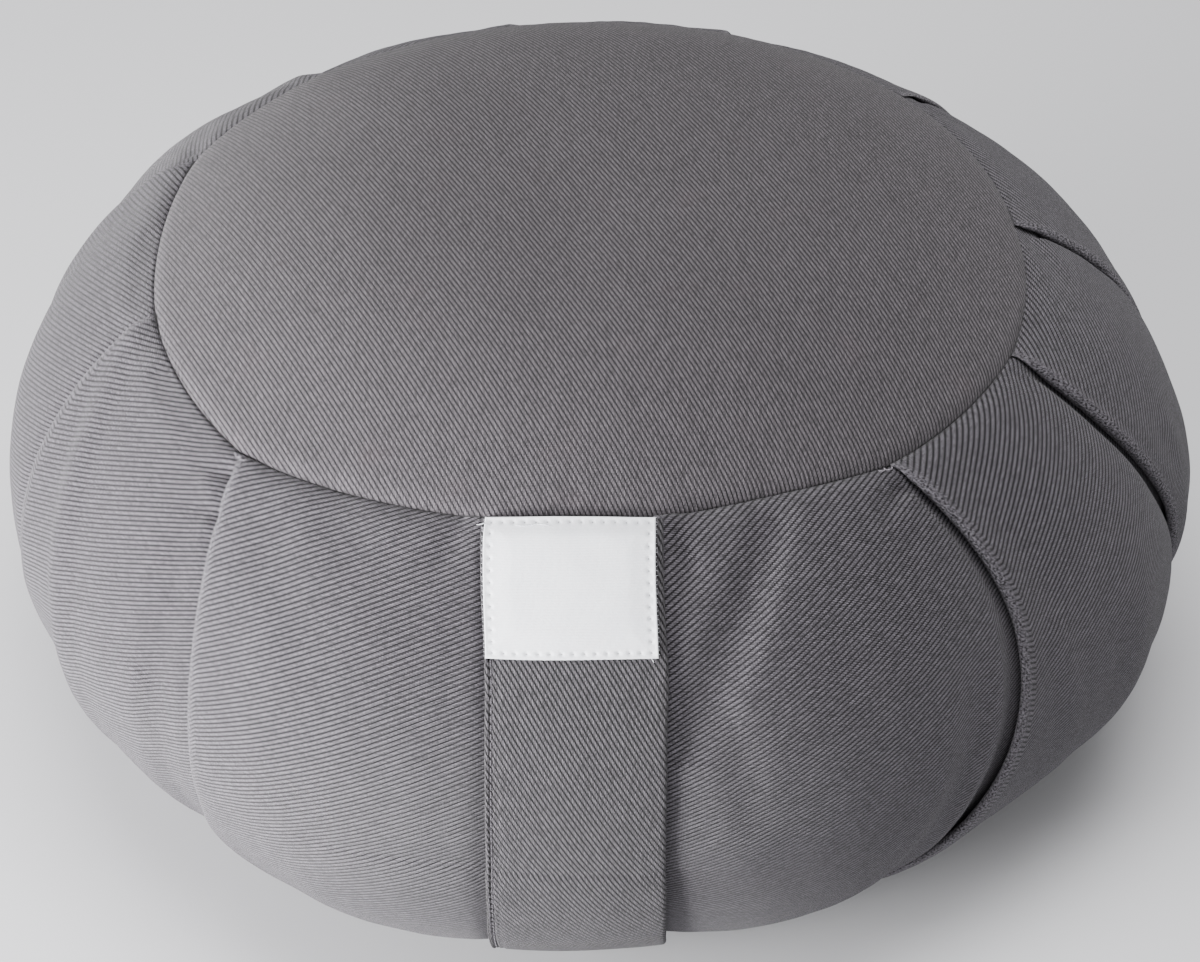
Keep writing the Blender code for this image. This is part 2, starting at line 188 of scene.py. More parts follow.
DENTS = (
    # panel after this pleat; from azimuth, level; to azimuth, level; height, half width, fade
    Dent("beside_strap", 37.8, 0.038, 33.8, 0.072, -0.0038, 0.0044, 0.7),
    Dent("beside_strap", 38.2, 0.055, 34.6, 0.086, 0.0014, 0.0032, 0.7),
    Dent("beside_strap", 8.8, 0.030, 10.4, 0.085, -0.0014, 0.0052, 0.3),
    Dent("beside_strap", 36.0, 0.110, 30.0, 0.150, -0.0007, 0.0070, 0.9),
    Dent("beside_strap", 12.5, 0.300, 14.0, 0.470, -0.0009, 0.0080, 0.5),
    Dent("left", -46.6, 0.035, -50.5, 0.060, -0.0026, 0.0040, 0.8),
    Dent("left", -44.8, 0.095, -49.0, 0.115, -0.0022, 0.0042, 0.8),
    Dent("left", -48.5, 0.062, -46.5, 0.078, 0.0008, 0.0036, 0.5),
    Dent("left", -45.8, 0.270, -47.0, 0.330, 0.0009, 0.0060, 0.5),
    Dent("left", -47.0, 0.430, -49.0, 0.520, 0.0010, 0.0080, 0.5),
    Dent("left", -66.0, 0.020, -52.0, 0.030, -0.0010, 0.0060, 0.2),
    Dent("left_rear", -95.0, 0.020, -80.0, 0.025, -0.0010, 0.0060, 0.3),
    Dent("left_rear", -79.0, 0.060, -83.0, 0.120, -0.0008, 0.0050, 0.8),
    Dent("front_left", -35.6, 0.110, -26.8, 0.240, -0.0007, 0.0110, 0.5),
    Dent("front_left", -32.0, 0.020, -21.6, 0.120, -0.0007, 0.0100, 0.7),
    Dent("front_left", -41.0, 0.700, -34.0, 0.830, 0.0010, 0.0110, 0.6),
    Dent("front_left", -16.0, 0.040, -19.0, 0.110, -0.0008, 0.0060, 0.8),
    Dent("front_right", 48.4, 0.360, 51.2, 0.620, 0.0010, 0.0080, 0.4),
    Dent("front_right", 64.5, 0.030, 57.5, 0.055, -0.0016, 0.0060, 0.9),
    Dent("front_right", 44.0, 0.020, 47.0, 0.120, 0.0006, 0.0070, 0.8),
    Dent("right", 94.0, 0.020, 84.0, 0.050, -0.0016, 0.0060, 0.9),
    Dent("right", 79.0, 0.300, 80.0, 0.600, 0.0009, 0.0090, 0.4),
    Dent("right_rear", 128.0, 0.030, 121.0, 0.055, -0.0014, 0.0060, 0.9),
    Dent("right_rear", 108.0, 0.300, 112.0, 0.620, -0.0009, 0.0110, 0.4),
    Dent("far_right", 158.0, 0.030, 152.0, 0.060, -0.0014, 0.0060, 0.9),
    Dent("back_right", 186.0, 0.030, 180.0, 0.060, -0.0014, 0.0060, 0.9),
    Dent("back_left", -144.0, 0.030, -150.0, 0.060, -0.0014, 0.0060, 0.9),
    Dent("far_left", -117.0, 0.030, -122.0, 0.060, -0.0014, 0.0060, 0.9),
)


def smooth_step(low: float, high: float, value: float) -> float:
    """Return 0 below low, 1 above high, and an even curve between."""
    share = min(max((value - low) / (high - low), 0.0), 1.0)
    return share * share * (3.0 - 2.0 * share)


def mix(first: float, second: float, share: float) -> float:
    """Return the value a share of the way from first to second."""
    return first + (second - first) * share


def from_seam(level: float) -> float:
    """Return how far a level is from the nearer seam's."""
    return min(level, 1.0 - level)


def half_turn(azimuth: float) -> float:
    """Return an azimuth as one from -180 to 180 degrees."""
    return (azimuth + 180.0) % 360.0 - 180.0


def bump(distance: float, half_width: float) -> float:
    """Return 1 at no distance, falling smoothly to 0 at the half width."""
    across = abs(distance) / half_width
    return (1.0 - across * across) ** 2 if across < 1.0 else 0.0


def ripple(x: float, y: float, z: float) -> float:
    """Return even random waves between about -1 and 1, a step of 1 being about one wave."""
    return noise.noise(Vector((x, y, z)))


def through(points: Sequence[tuple[float, float]], steps: Sequence[int]) -> list[tuple[float, float]]:
    """Run a smooth line through flat points.

    Args:
        points: the points, with one more before the line's start and one after its end.
        steps: how many steps each stretch between two points gets.

    Returns:
        The line's points, from the second given point to the last but one.
    """
    line = []
    for i, count in enumerate(steps):
        a, b, c, d = points[i : i + 4]
        for step in range(count):
            t = step / count
            line.append(tuple(
                0.5 * (
                    2 * q + (r - p) * t + (2 * p - 5 * q + 4 * r - s) * t * t
                    + (3 * q - p - 3 * r + s) * t**3
                )
                for p, q, r, s in zip(a, b, c, d)
            ))
    line.append(tuple(points[-2]))
    return line


@dataclass
class Drum:
    """The smooth form under the pleats: a rounded drum, widest at its waist and flat on the floor."""

    widest_radius: float = 0.180
    waist_height: float = 0.0828
    crown_rise: float = 0.099
    keel_drop: float = 0.0954
    plan_power: float = 2.886
    rise_power: float = 2.034
    floor_rounding: float = 0.004
    axis_x: float = -0.0003
    axis_y: float = -0.0004
    normal_step: float = math.radians(0.4)
    arc_steps: int = 1440
    arcs: list[float] = field(init=False)

    def __post_init__(self) -> None:
        """Measure the profile from the crown down, for distances along the cloth."""
        self.arcs = [0.0]
        last = self.profile(math.pi / 2)
        for step in range(1, self.arc_steps + 1):
            point = self.profile(math.pi * (0.5 - step / self.arc_steps))
            self.arcs.append(self.arcs[-1] + math.dist(last, point))
            last = point

    def profile(self, angle: float) -> tuple[float, float]:
        """Return the distance from the axis and the height, from 90 degrees at the crown to -90 below."""
        reach = self.widest_radius * max(math.cos(angle), 0.0) ** (2 / self.plan_power)
        climb = abs(math.sin(angle)) ** (2 / self.rise_power)
        if angle >= 0:
            return reach, self.waist_height + self.crown_rise * climb
        height = self.waist_height - self.keel_drop * climb
        overlap = max(self.floor_rounding - abs(height), 0.0) / self.floor_rounding
        return reach, max(height, 0.0) + overlap * overlap * self.floor_rounding / 4

    def outward(self, angle: float) -> tuple[float, float]:
        """Return the outward direction at a profile angle, as (away from the axis, up)."""
        if math.pi / 2 - abs(angle) < self.normal_step:
            return 0.0, math.copysign(1.0, angle)
        above, below = self.profile(angle + self.normal_step), self.profile(angle - self.normal_step)
        run, rise = above[0] - below[0], above[1] - below[1]
        length = math.hypot(run, rise)
        return rise / length, -run / length

    def place(self, azimuth: float, angle: float, rise: float) -> Vector:
        """Return the point at an azimuth and profile angle, moved outwards by rise."""
        reach, height = self.profile(angle)
        away, up = self.outward(angle)
        reach += away * rise
        turn = math.radians(azimuth)
        x = self.axis_x + reach * math.sin(turn)
        y = self.axis_y - reach * math.cos(turn)
        return Vector((x, y, height + up * rise))

    def seam_angle(self, radius: float) -> float:
        """Return the profile angle above the waist at which the form has this radius."""
        return math.acos((radius / self.widest_radius) ** (self.plan_power / 2))

    def arc(self, angle: float) -> float:
        """Return the distance over the surface from the crown down to a profile angle."""
        at = (0.5 - angle / math.pi) * self.arc_steps
        low = min(max(int(at), 0), self.arc_steps - 1)
        return mix(self.arcs[low], self.arcs[low + 1], at - low)


@dataclass
class PleatLayout:
    """Where the pleats run on the drum, and how the filled cloth stands between them.

    The quiet stretch is the far side, where band and panel meet almost level. Each of the waves has a
    length across, a length down and a seed: long ones, short ones, and gathers near the seams.
    """

    drum: Drum
    pleats: Sequence[Pleat] = PLEATS
    soft_folds: Sequence[SoftFold] = SOFT_FOLDS
    dents: Sequence[Dent] = DENTS
    band_arc: float = 0.205
    settle: float = 0.0022
    seam_dip: float = 0.0022
    strap_dip: float = 0.0010
    quiet_dip: float = 0.0012
    quiet_step: float = 0.0005
    quiet_away: float = 0.0012
    quiet_from: tuple[float, float] = (58.0, 84.0)
    quiet_to: tuple[float, float] = (235.0, 255.0)
    dip_reach: float = 0.009
    roll_power: float = 2.3
    opening: float = 0.06
    fold_step: float = 0.0012
    lift_share: float = 0.20
    sink_flat: float = 0.0016
    sink_near: float = 0.0032
    sink_far: float = 0.0085
    sink_levels: tuple[float, float] = (0.10, 0.45)
    strap_name: str = "under_strap"
    strap_from: float = -13.5
    strap_to: float = 8.5
    strap_fade: float = 2.5
    long_wave: float = 0.00045
    short_wave: float = 0.00012
    gather: float = 0.00022
    gather_reach: float = 0.11
    wave_sizes: tuple[tuple[float, float, float], ...] = (
        (0.022, 0.050, 7.3), (0.0075, 0.014, 3.1), (0.0048, 0.022, 5.7),
    )
    dent_shrink: float = 0.78

    def __post_init__(self) -> None:
        """Sort the dents by the panel that they are in."""
        names = [pleat.name for pleat in self.pleats]
        self.strap_panel = names.index(self.strap_name)
        self.panel_dents = [[dent for dent in self.dents if dent.panel == name] for name in names]

    def following(self, panel: int) -> Pleat:
        """Return the pleat at a panel's far side."""
        return self.pleats[(panel + 1) % len(self.pleats)]

    def along(self, fold: Pleat | SoftFold, level: float) -> float:
        """Return a fold's azimuth at a level: the cubic through its four azimuths."""
        values = (fold.at_seam, fold.upper, fold.lower, fold.at_foot)
        stations = (0.0, 1 / 3, 2 / 3, 1.0)
        total = 0.0
        for i, value in enumerate(values):
            weight = 1.0
            for j, station in enumerate(stations):
                if j != i:
                    weight *= (level - station) / (stations[i] - station)
            total += value * weight
        return total

    def seam_angle(self, panel: int, share: float) -> float:
        """Return the seam's profile angle a share of the way from one pleat to the next."""
        radius = mix(self.pleats[panel].seam_radius, self.following(panel).seam_radius, share)
        return self.drum.seam_angle(radius - self.pleats[panel].sag * math.sin(math.pi * share))

    def span(self, panel: int, level: float) -> tuple[float, float]:
        """Return the azimuths of a panel's two pleats at a level, the second above the first."""
        start, end = self.along(self.pleats[panel], level), self.along(self.following(panel), level)
        return start, end + 360.0 if end < start else end

    def azimuth(self, panel: int, share: float, level: float) -> float:
        """Return the azimuth a share of the way from one pleat's edge to the next one's."""
        return mix(*self.span(panel, level), share)

    def openness(self, level: float) -> float:
        """Return how far the pleats have opened: 0 where they are sewn flat into a seam."""
        return smooth_step(0.0, self.opening, from_seam(level))

    def swell(self, level: float) -> float:
        """Return how far the filling pushes the cloth out: nothing at the seams, evenly between them."""
        return 1.0 - (2.0 * level - 1.0) ** 4

    def under_strap(self, azimuth: float) -> float:
        """Return 1 where the strap covers the band, 0 beside it."""
        turned = half_turn(azimuth)
        inside = smooth_step(self.strap_from - self.strap_fade, self.strap_from, turned)
        return inside * (1.0 - smooth_step(self.strap_to, self.strap_to + self.strap_fade, turned))

    def roll(self, away: float, depth: float) -> float:
        """Return how far cloth is drawn in at a distance from a seam that holds it this deep."""
        return -depth * max(1.0 - max(away, 0.0) / self.dip_reach, 0.0) ** self.roll_power

    def quiet(self, azimuth: float) -> float:
        """Return 1 in the quiet stretch round the far side, 0 at the front and left."""
        turned = azimuth % 360.0
        return smooth_step(*self.quiet_from, turned) * (1.0 - smooth_step(*self.quiet_to, turned))

    def seam_distance(self, azimuth: float, away: float) -> float:
        """Return the distance from a seam as its finish sees it: further in the quiet stretch."""
        return away + self.quiet_away * self.quiet(azimuth)

    def dip(self, azimuth: float) -> float:
        """Return how deep the seam lies at an azimuth: less in the quiet stretch and under the strap."""
        open_dip = mix(self.seam_dip, self.quiet_dip, self.quiet(azimuth))
        return mix(open_dip, self.strap_dip, self.under_strap(azimuth))

    def soft_rise(self, azimuth: float, level: float) -> float:
        """Return what the long soft ridges and hollows add at a place on the band."""
        total = 0.0
        for fold in self.soft_folds:
            run = (level - fold.from_level) / (fold.to_level - fold.from_level)
            if 0.0 < run < 1.0:
                away = half_turn(azimuth - self.along(fold, level))
                total += fold.height * bump(away, fold.half_width) * math.sin(math.pi * run) ** 0.5
        return total

    def dent_rise(self, panel: int, azimuth: float, level: float) -> float:
        """Return what the small hollows and puckers of a panel add at a place on it."""
        total = 0.0
        scale = math.radians(self.drum.widest_radius) * mix(self.dent_shrink, 1.0, self.swell(level))
        for dent in self.panel_dents[panel]:
            turn, drop = dent.to_azimuth - dent.from_azimuth, dent.to_level - dent.from_level
            run = Vector((turn * scale, drop * self.band_arc))
            turn, drop = half_turn(azimuth - dent.from_azimuth), level - dent.from_level
            here = Vector((turn * scale, drop * self.band_arc))
            share = min(max(here.dot(run) / run.length_squared, 0.0), 1.0)
            beside = (here - run * share).length
            total += dent.height * bump(beside, dent.half_width) * (1.0 - dent.fade * share)
        return total

    def waves(self, panel: int, azimuth: float, level: float) -> float:
        """Return the fine unevenness of filled cloth: long waves, short ones, and gathers at the seams."""
        across = math.radians(azimuth % 360.0) * self.drum.widest_radius
        down = level * self.band_arc
        near = 1.0 - smooth_step(0.0, self.gather_reach, from_seam(level))
        heights = (self.long_wave * self.swell(level), self.short_wave, self.gather * near)
        total = 0.0
        for height, (wide, long, seed) in zip(heights, self.wave_sizes):
            total += height * ripple(across / wide, down / long, panel * seed)
        return total * (1.0 - self.under_strap(azimuth))

    def rise(self, panel: int, share: float, level: float, fine: bool = True) -> float:
        """Say how far a panel's cloth stands off the smooth form, between its two pleats.

        Args:
            panel: which panel, counted as its first pleat is.
            share: how far across the panel, from 0 at its first pleat to 1 at the next.
            level: how far down the band.
            fine: whether the dents and fine waves count too.

        Returns:
            The distance outwards, in metres.
        """
        here, following = self.pleats[panel], self.following(panel)
        share = min(max(share, 0.0), 1.0)
        azimuth = self.azimuth(panel, share, level)
        opened = self.openness(level)
        skewed = share ** (math.log(0.5) / math.log(here.peak))
        rise = (here.fullness * math.sin(math.pi * skewed) - self.settle) * self.swell(level)
        seam_step = mix(self.fold_step, self.quiet_step, self.quiet(azimuth))
        step = here.lift * opened + (seam_step * (1.0 - opened) if fine else 0.0)
        rise += step * (1.0 - smooth_step(0.0, self.lift_share, share))
        start, end = self.span(panel, level)
        before = math.radians(end - start) * (1.0 - share) * self.drum.widest_radius
        reach = mix(self.sink_near, self.sink_far, smooth_step(*self.sink_levels, from_seam(level)))
        rise -= following.sink * opened * (1.0 - smooth_step(self.sink_flat, self.sink_flat + reach, before))
        rise += self.soft_rise(azimuth, level)
        if fine:
            rise += self.dent_rise(panel, azimuth, level) + self.waves(panel, azimuth, level)
        return rise + self.roll(from_seam(level) * self.band_arc, self.dip(azimuth))


def as_mesh(name: str, shape: BMesh) -> Mesh:
    """Turn a bmesh into a smooth mesh, and free it."""
    mesh = bpy.data.meshes.new(name)
    shape.to_mesh(mesh)
    shape.free()
    mesh.shade_smooth()
    return mesh


def bend_grid(name: str, lines: Sequence[Sequence[ClothPoint]], closed: bool) -> Mesh:
    """Bend a grid of faces to lines of cloth points.

    The flat cloth, the distances from the seams and those from the folds are laid on it as UV maps.

    Args:
        name: the mesh's name.
        lines: the rows of points, all of one length, from the first row down.
        closed: whether each row runs round and meets itself.

    Returns:
        The mesh, with rows that end in one point closed there.
    """
    columns = len(lines[0]) if closed else len(lines[0]) - 1
    rows = len(lines) - 1
    shape = bmesh.new()
    bmesh.ops.create_grid(shape, x_segments=columns, y_segments=rows, size=1.0)
    cloth, seam, fold = (shape.loops.layers.uv.new(name) for name in (CLOTH_UV, SEAM_UV, FOLD_UV))
    spots = {}
    for vertex in shape.verts:
        column = round((vertex.co.x + 1.0) / 2.0 * columns)
        row = round((vertex.co.y + 1.0) / 2.0 * rows)
        spots[vertex.index] = (column, row)
    for face in shape.faces:
        first = min(spots[corner.vert.index][0] for corner in face.loops)
        for corner in face.loops:
            column, row = spots[corner.vert.index]
            point = lines[row][column % len(lines[row])]
            corner[cloth].uv = (point.after if column == first else point.before, -point.down)
            corner[seam].uv = (point.along, point.away)
            corner[fold].uv = (point.past, 0.0)
    for vertex in shape.verts:
        column, row = spots[vertex.index]
        vertex.co = lines[row][column % len(lines[row])].place
    bmesh.ops.remove_doubles(shape, verts=shape.verts, dist=MERGE)
    bmesh.ops.dissolve_degenerate(shape, edges=shape.edges, dist=MERGE)
    return as_mesh(name, shape)


def close_ends(mesh: Mesh) -> None:
    """Fill a tube's open ends, and turn all its faces outwards."""
    shape = bmesh.new()
    shape.from_mesh(mesh)
    rims = [edge for edge in shape.edges if edge.is_boundary]
    if rims:
        bmesh.ops.holes_fill(shape, edges=rims, sides=0)
    bmesh.ops.recalc_face_normals(shape, faces=shape.faces)
    shape.to_mesh(mesh)
    shape.free()


def face_like(mesh: Mesh, direction: Vector) -> None:
    """Turn an open sheet's faces so that the one nearest its middle looks the given way."""
    middle = mesh.polygons[len(mesh.polygons) // 2]
    if middle.normal.dot(direction) < 0:
        mesh.flip_normals()


def add_piece(name: str, mesh: Mesh, finish: Material) -> Object:
    """Put a mesh in the scene as a piece that rides on the cushion's one body.

    Args:
        name: the piece's name.
        mesh: its mesh, already in place.
        finish: its material.

    Returns:
        The new object.
    """
    piece = bpy.data.objects.new(name, mesh)
    bpy.context.scene.collection.objects.link(piece)
    mesh.materials.clear()
    mesh.materials.append(finish)
    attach(piece, ROOT)
    log.info("%s: %d faces", name, len(mesh.polygons))
    return piece


def give_thickness(piece: Object, thickness: float, offset: float) -> None:
    """Make a sheet solid: offset -1 grows it inwards from its face, 1 outwards."""
    solid = piece.modifiers.new("Cloth thickness", "SOLIDIFY")
    solid.thickness = thickness
    solid.offset = offset


class Graph:
    """Adds nodes to a tree, so that a pattern reads as a formula."""

    def __init__(self, tree: NodeTree) -> None:
        """Keep the tree that the nodes go into."""
        self.tree = tree

    def node(self, kind: str, **settings: object) -> Node:
        """Add a node of a kind and set its own properties."""
        made = self.tree.nodes.new(kind)
        for name, value in settings.items():
            setattr(made, name, value)
        return made

    def feed(self, socket: NodeSocket, value: object) -> None:
        """Join an output to a socket, or give the socket a plain value."""
        if isinstance(value, NodeSocket):
            self.tree.links.new(value, socket)
        else:
            socket.default_value = value

    def calc(self, operation: str, *values: object) -> NodeSocket:
        """Work out one step of arithmetic and return its result."""
        made = self.node("ShaderNodeMath", operation=operation)
        for socket, value in zip(made.inputs, values):
            self.feed(socket, value)
        return made.outputs[0]

    def times(self, first: object, second: object) -> NodeSocket:
        """Return first times second."""
        return self.calc("MULTIPLY", first, second)

    def scaled(self, value: object, factor: object, offset: object) -> NodeSocket:
        """Return the value times the factor, plus the offset."""
        return self.calc("MULTIPLY_ADD", value, factor, offset)

    def blend(self, share: object, first: object, second: object, kind: str = "MIX") -> NodeSocket:
        """Return the colour a share of the way from first to second."""
        made = self.node("ShaderNodeMix", data_type="RGBA", blend_type=kind)
        for socket, value in zip((made.inputs[0], made.inputs[6], made.inputs[7]), (share, first, second)):
            self.feed(socket, value)
        return made.outputs[2]

    def ramp(self, value: object, low: float, high: float, start: float, end: float) -> NodeSocket:
        """Return start below low and end above high, and an even curve between."""
        made = self.node("ShaderNodeMapRange", interpolation_type="SMOOTHSTEP")
        for socket, given in zip(made.inputs, (value, low, high, start, end)):
            self.feed(socket, given)
        return made.outputs[0]

    def noise(self, where: object, scale: float, detail: float = 2.0) -> NodeSocket:
        """Return cloudy noise from 0 to 1, with scale waves to the metre."""
        made = self.node("ShaderNodeTexNoise")
        self.feed(made.inputs["Vector"], where)
        made.inputs["Scale"].default_value = scale
        made.inputs["Detail"].default_value = detail
        return made.outputs[0]

    def chance(self, column: object, row: object) -> NodeSocket:
        """Return a random number from 0 to 1 for each pair of whole numbers."""
        pair = self.node("ShaderNodeCombineXYZ")
        self.feed(pair.inputs[0], column)
        self.feed(pair.inputs[1], row)
        made = self.node("ShaderNodeTexWhiteNoise", noise_dimensions="2D")
        self.feed(made.inputs["Vector"], pair.outputs[0])
        return made.outputs["Value"]

    def split(self, vector: object) -> Sequence[NodeSocket]:
        """Return a vector's X, Y and Z."""
        made = self.node("ShaderNodeSeparateXYZ")
        self.feed(made.inputs[0], vector)
        return made.outputs

    def turned(self, uv_map: str, turn: float = 0.0) -> NodeSocket:
        """Return a piece's own UV map, turned by an angle in degrees."""
        flat = self.node("ShaderNodeUVMap", uv_map=uv_map)
        made = self.node("ShaderNodeMapping")
        self.feed(made.inputs["Vector"], flat.outputs[0])
        made.inputs["Rotation"].default_value = (0.0, 0.0, math.radians(turn))
        return made.outputs[0]

    def bump(self, surface: Node, height: object) -> None:
        """Give a surface shader its relief, from a height in metres."""
        relief = self.node("ShaderNodeBump")
        relief.inputs["Distance"].default_value = 1.0
        self.feed(relief.inputs["Height"], height)
        self.feed(surface.inputs["Normal"], relief.outputs[0])

    def use(self, group: NodeTree, **values: object) -> Node:
        """Place a node group with its own values."""
        made = self.node("ShaderNodeGroup")
        made.node_tree = group
        for name, value in values.items():
            self.feed(made.inputs[name], value)
        return made


def new_group(name: str, given: dict[str, str], made: dict[str, str]) -> tuple[Graph, Node, Node]:
    """Start a shader node group.

    Args:
        name: the group's name.
        given: its input sockets' names and types.
        made: its output sockets' names and types.

    Returns:
        The group's graph, its input node and its output node.
    """
    tree = bpy.data.node_groups.new(name, "ShaderNodeTree")
    for direction, sockets in (("INPUT", given), ("OUTPUT", made)):
        for label, kind in sockets.items():
            tree.interface.new_socket(name=label, in_out=direction, socket_type=kind)
    graph = Graph(tree)
    return graph, graph.node("NodeGroupInput"), graph.node("NodeGroupOutput")


def new_material(name: str) -> tuple[Material, Graph, Node]:
    """Start a material, and return it with its graph and its surface shader."""
    made = bpy.data.materials.new(name)
    made.use_nodes = True
    return made, Graph(made.node_tree), made.node_tree.nodes["Principled BSDF"]


VALUE, VECTOR = "NodeSocketFloat", "NodeSocketVector"


@dataclass(frozen=True)
class TwillWeave:
    """The weave of a three-and-one twill, as a node group that every twill shares."""

    repeat: float = 4.0
    floats: float = 0.80
    arch: float = 0.60
    barrel: float = 0.80
    specks_per_pick: float = 1.3
    speck_share: float = 0.6

    def group(self) -> NodeTree:
        """Build the weave.

        Returns:
            A group that takes flat cloth (X across the threads on top, Y along them) and both thread
            spacings, and gives the height of the weave and a lightness for each stretch of thread.
        """
        sockets = {"Cloth": VECTOR, "Warp": VALUE, "Weft": VALUE}
        graph, given, made = new_group("twill_weave", sockets, {"Height": VALUE, "Yarn": VALUE})
        flat = graph.split(given.outputs["Cloth"])
        across = graph.calc("DIVIDE", flat["X"], given.outputs["Warp"])
        thread, within = graph.calc("FLOOR", across), graph.calc("FRACT", across)
        picks = graph.calc("DIVIDE", flat["Y"], given.outputs["Weft"])
        phase = graph.calc("DIVIDE", graph.calc("ADD", thread, picks), self.repeat)
        shown = graph.calc("MINIMUM", graph.calc("DIVIDE", graph.calc("FRACT", phase), self.floats), 1.0)
        arch = graph.calc("POWER", graph.calc("SINE", graph.times(shown, math.pi)), self.arch)
        barrel = graph.calc("POWER", graph.calc("SINE", graph.times(within, math.pi)), self.barrel)
        graph.feed(made.inputs["Height"], graph.times(arch, barrel))
        tone = graph.chance(thread, graph.calc("FLOOR", phase))
        speck = graph.chance(thread, graph.calc("FLOOR", graph.times(picks, self.specks_per_pick)))
        rest = graph.times(tone, 1.0 - self.speck_share)
        graph.feed(made.inputs["Yarn"], graph.scaled(speck, self.speck_share, rest))
        return graph.tree


@dataclass(frozen=True)
class SeamPull:
    """The pull of a seam's stitches on the cloth beside it, as a node group that every twill shares."""

    pitch: float = 0.0031
    reach: float = 0.0035
    edge_share: float = 0.24
    uneven_scale: float = 160.0
    uneven: float = 0.5

    def group(self) -> NodeTree:
        """Build the pull.

        Returns:
            A group that takes a seam map (X along the seam, Y away from it) and gives the height of the
            puckers, from -1 to 0, and how dark the drawn-in cloth is.
        """
        graph, given, made = new_group("seam_pull", {"Seam": VECTOR}, {"Height": VALUE, "Shade": VALUE})
        flat = graph.split(given.outputs["Seam"])
        drift = graph.times(graph.noise(given.outputs["Seam"], self.uneven_scale), self.uneven)
        turns = graph.calc("ADD", graph.calc("DIVIDE", flat["X"], self.pitch), drift)
        pull = graph.scaled(graph.calc("COSINE", graph.times(turns, 2.0 * math.pi)), 0.5, 0.5)
        near = graph.ramp(flat["Y"], 0.0, self.reach, 1.0, 0.0)
        graph.feed(made.inputs["Height"], graph.times(graph.times(pull, near), -1.0))
        edge = graph.ramp(flat["Y"], 0.0, self.reach * self.edge_share, 1.0, 0.0)
        graph.feed(made.inputs["Shade"], graph.times(edge, graph.scaled(pull, 0.5, 0.5)))
        return graph.tree


def screen(red: float, green: float, blue: float) -> tuple[float, float, float, float]:
    """Return a linear colour from the 0 to 255 scale of a screen."""
    return tuple(((value / 255.0 + 0.055) / 1.055) ** 2.4 for value in (red, green, blue)) + (1.0,)


@dataclass(frozen=True)
class TwillFinish:
    """A heavy cotton twill: the yarn's colour, painted shade between the ridges, and how the weave lies.

    A lip is the cloth at the edge of a fold, where the yarn is worn and its nap stands up. Scales are in
    waves to the metre, and a range says where a random mask starts and is full.
    """

    name: str
    yarn: Colour
    # Painted shade: the colour of the hollows between the weave's ridges, where shade falls.
    gap: Colour
    warmth: Colour
    worn: Colour = (122, 118, 125)
    turn: float = 0.0
    gap_height: float = 0.14
    ridge_height: float = 0.80
    warp: float = 0.000363
    weft: float = 0.000730
    relief: float = 0.00034
    fuzz_relief: float = 0.35
    fuzz_scale: float = 2600.0
    fuzz_tone: tuple[float, float] = (1.3, 0.35)
    pucker: float = 0.00035
    seam_shade: float = 0.45
    lip_width: float = 0.0040
    lip_edge: float = 0.0005
    lip_wear: float = 0.75
    lip_flat: float = 0.7
    nap_scale: float = 1500.0
    nap_range: tuple[float, float] = (0.36, 0.64)
    speckle: float = 1.05
    mottling: float = 0.10
    mottling_scale: float = 34.0
    warm_share: float = 0.0
    warm_scale: float = 52.0
    warm_range: tuple[float, float] = (0.56, 0.78)
    roughness: float = 0.88
    rough_spread: float = 0.10

    def material(self, weave: NodeTree, seams: NodeTree) -> Material:
        """Build the cloth's material from the shared weave and seam groups."""
        made, graph, surface = new_material(self.name)
        cloth = graph.turned(CLOTH_UV, self.turn)
        twill = graph.use(weave, Cloth=cloth, Warp=self.warp, Weft=self.weft)
        seam = graph.use(seams, Seam=graph.turned(SEAM_UV))
        past = graph.split(graph.turned(FOLD_UV))
        fuzz = graph.noise(cloth, self.fuzz_scale)
        clouds = graph.noise(cloth, self.mottling_scale, 4.0)
        # Painted shade: the colour darkens from the yarn's towards the gap's where the weave lies low.
        lie = graph.ramp(twill.outputs["Height"], self.gap_height, self.ridge_height, 0.0, 1.0)
        colour = graph.blend(lie, screen(*self.gap), screen(*self.yarn))
        tone = graph.scaled(twill.outputs["Yarn"], self.speckle, 1.0 - self.speckle / 2)
        for mask, factor, offset in (
            (fuzz, *self.fuzz_tone),
            (clouds, self.mottling, 1.0 - self.mottling / 2),
            (seam.outputs["Shade"], -self.seam_shade, 1.0),
        ):
            tone = graph.times(tone, graph.scaled(mask, factor, offset))
        grey = graph.node("ShaderNodeCombineColor")
        for socket in grey.inputs:
            graph.feed(socket, tone)
        colour = graph.blend(1.0, colour, grey.outputs[0], "MULTIPLY")
        patches = graph.ramp(graph.noise(cloth, self.warm_scale, 3.0), *self.warm_range, 0.0, self.warm_share)
        colour = graph.blend(patches, colour, screen(*self.warmth))
        lip = graph.ramp(past["X"], self.lip_edge, self.lip_width, 1.0, 0.0)
        nap = graph.ramp(graph.noise(cloth, self.nap_scale, 3.0), *self.nap_range, 0.0, 1.0)
        worn = graph.blend(nap, screen(*self.gap), screen(*self.worn))
        colour = graph.blend(graph.times(lip, self.lip_wear), colour, worn)
        graph.feed(surface.inputs["Base Color"], colour)
        rough = graph.scaled(fuzz, self.rough_spread, self.roughness - self.rough_spread / 2)
        graph.feed(surface.inputs["Roughness"], rough)
        height = graph.times(twill.outputs["Height"], graph.scaled(lip, -self.lip_flat, 1.0))
        height = graph.times(height, self.relief)
        height = graph.scaled(graph.times(nap, lip), self.relief, height)
        height = graph.scaled(fuzz, self.relief * self.fuzz_relief, height)
        graph.bump(surface, graph.scaled(seam.outputs["Height"], self.pucker, height))
        surface.inputs["Specular IOR Level"].default_value = 0.25
        surface.inputs["Sheen Weight"].default_value = 0.12
        surface.inputs["Sheen Roughness"].default_value = 0.5
        return made


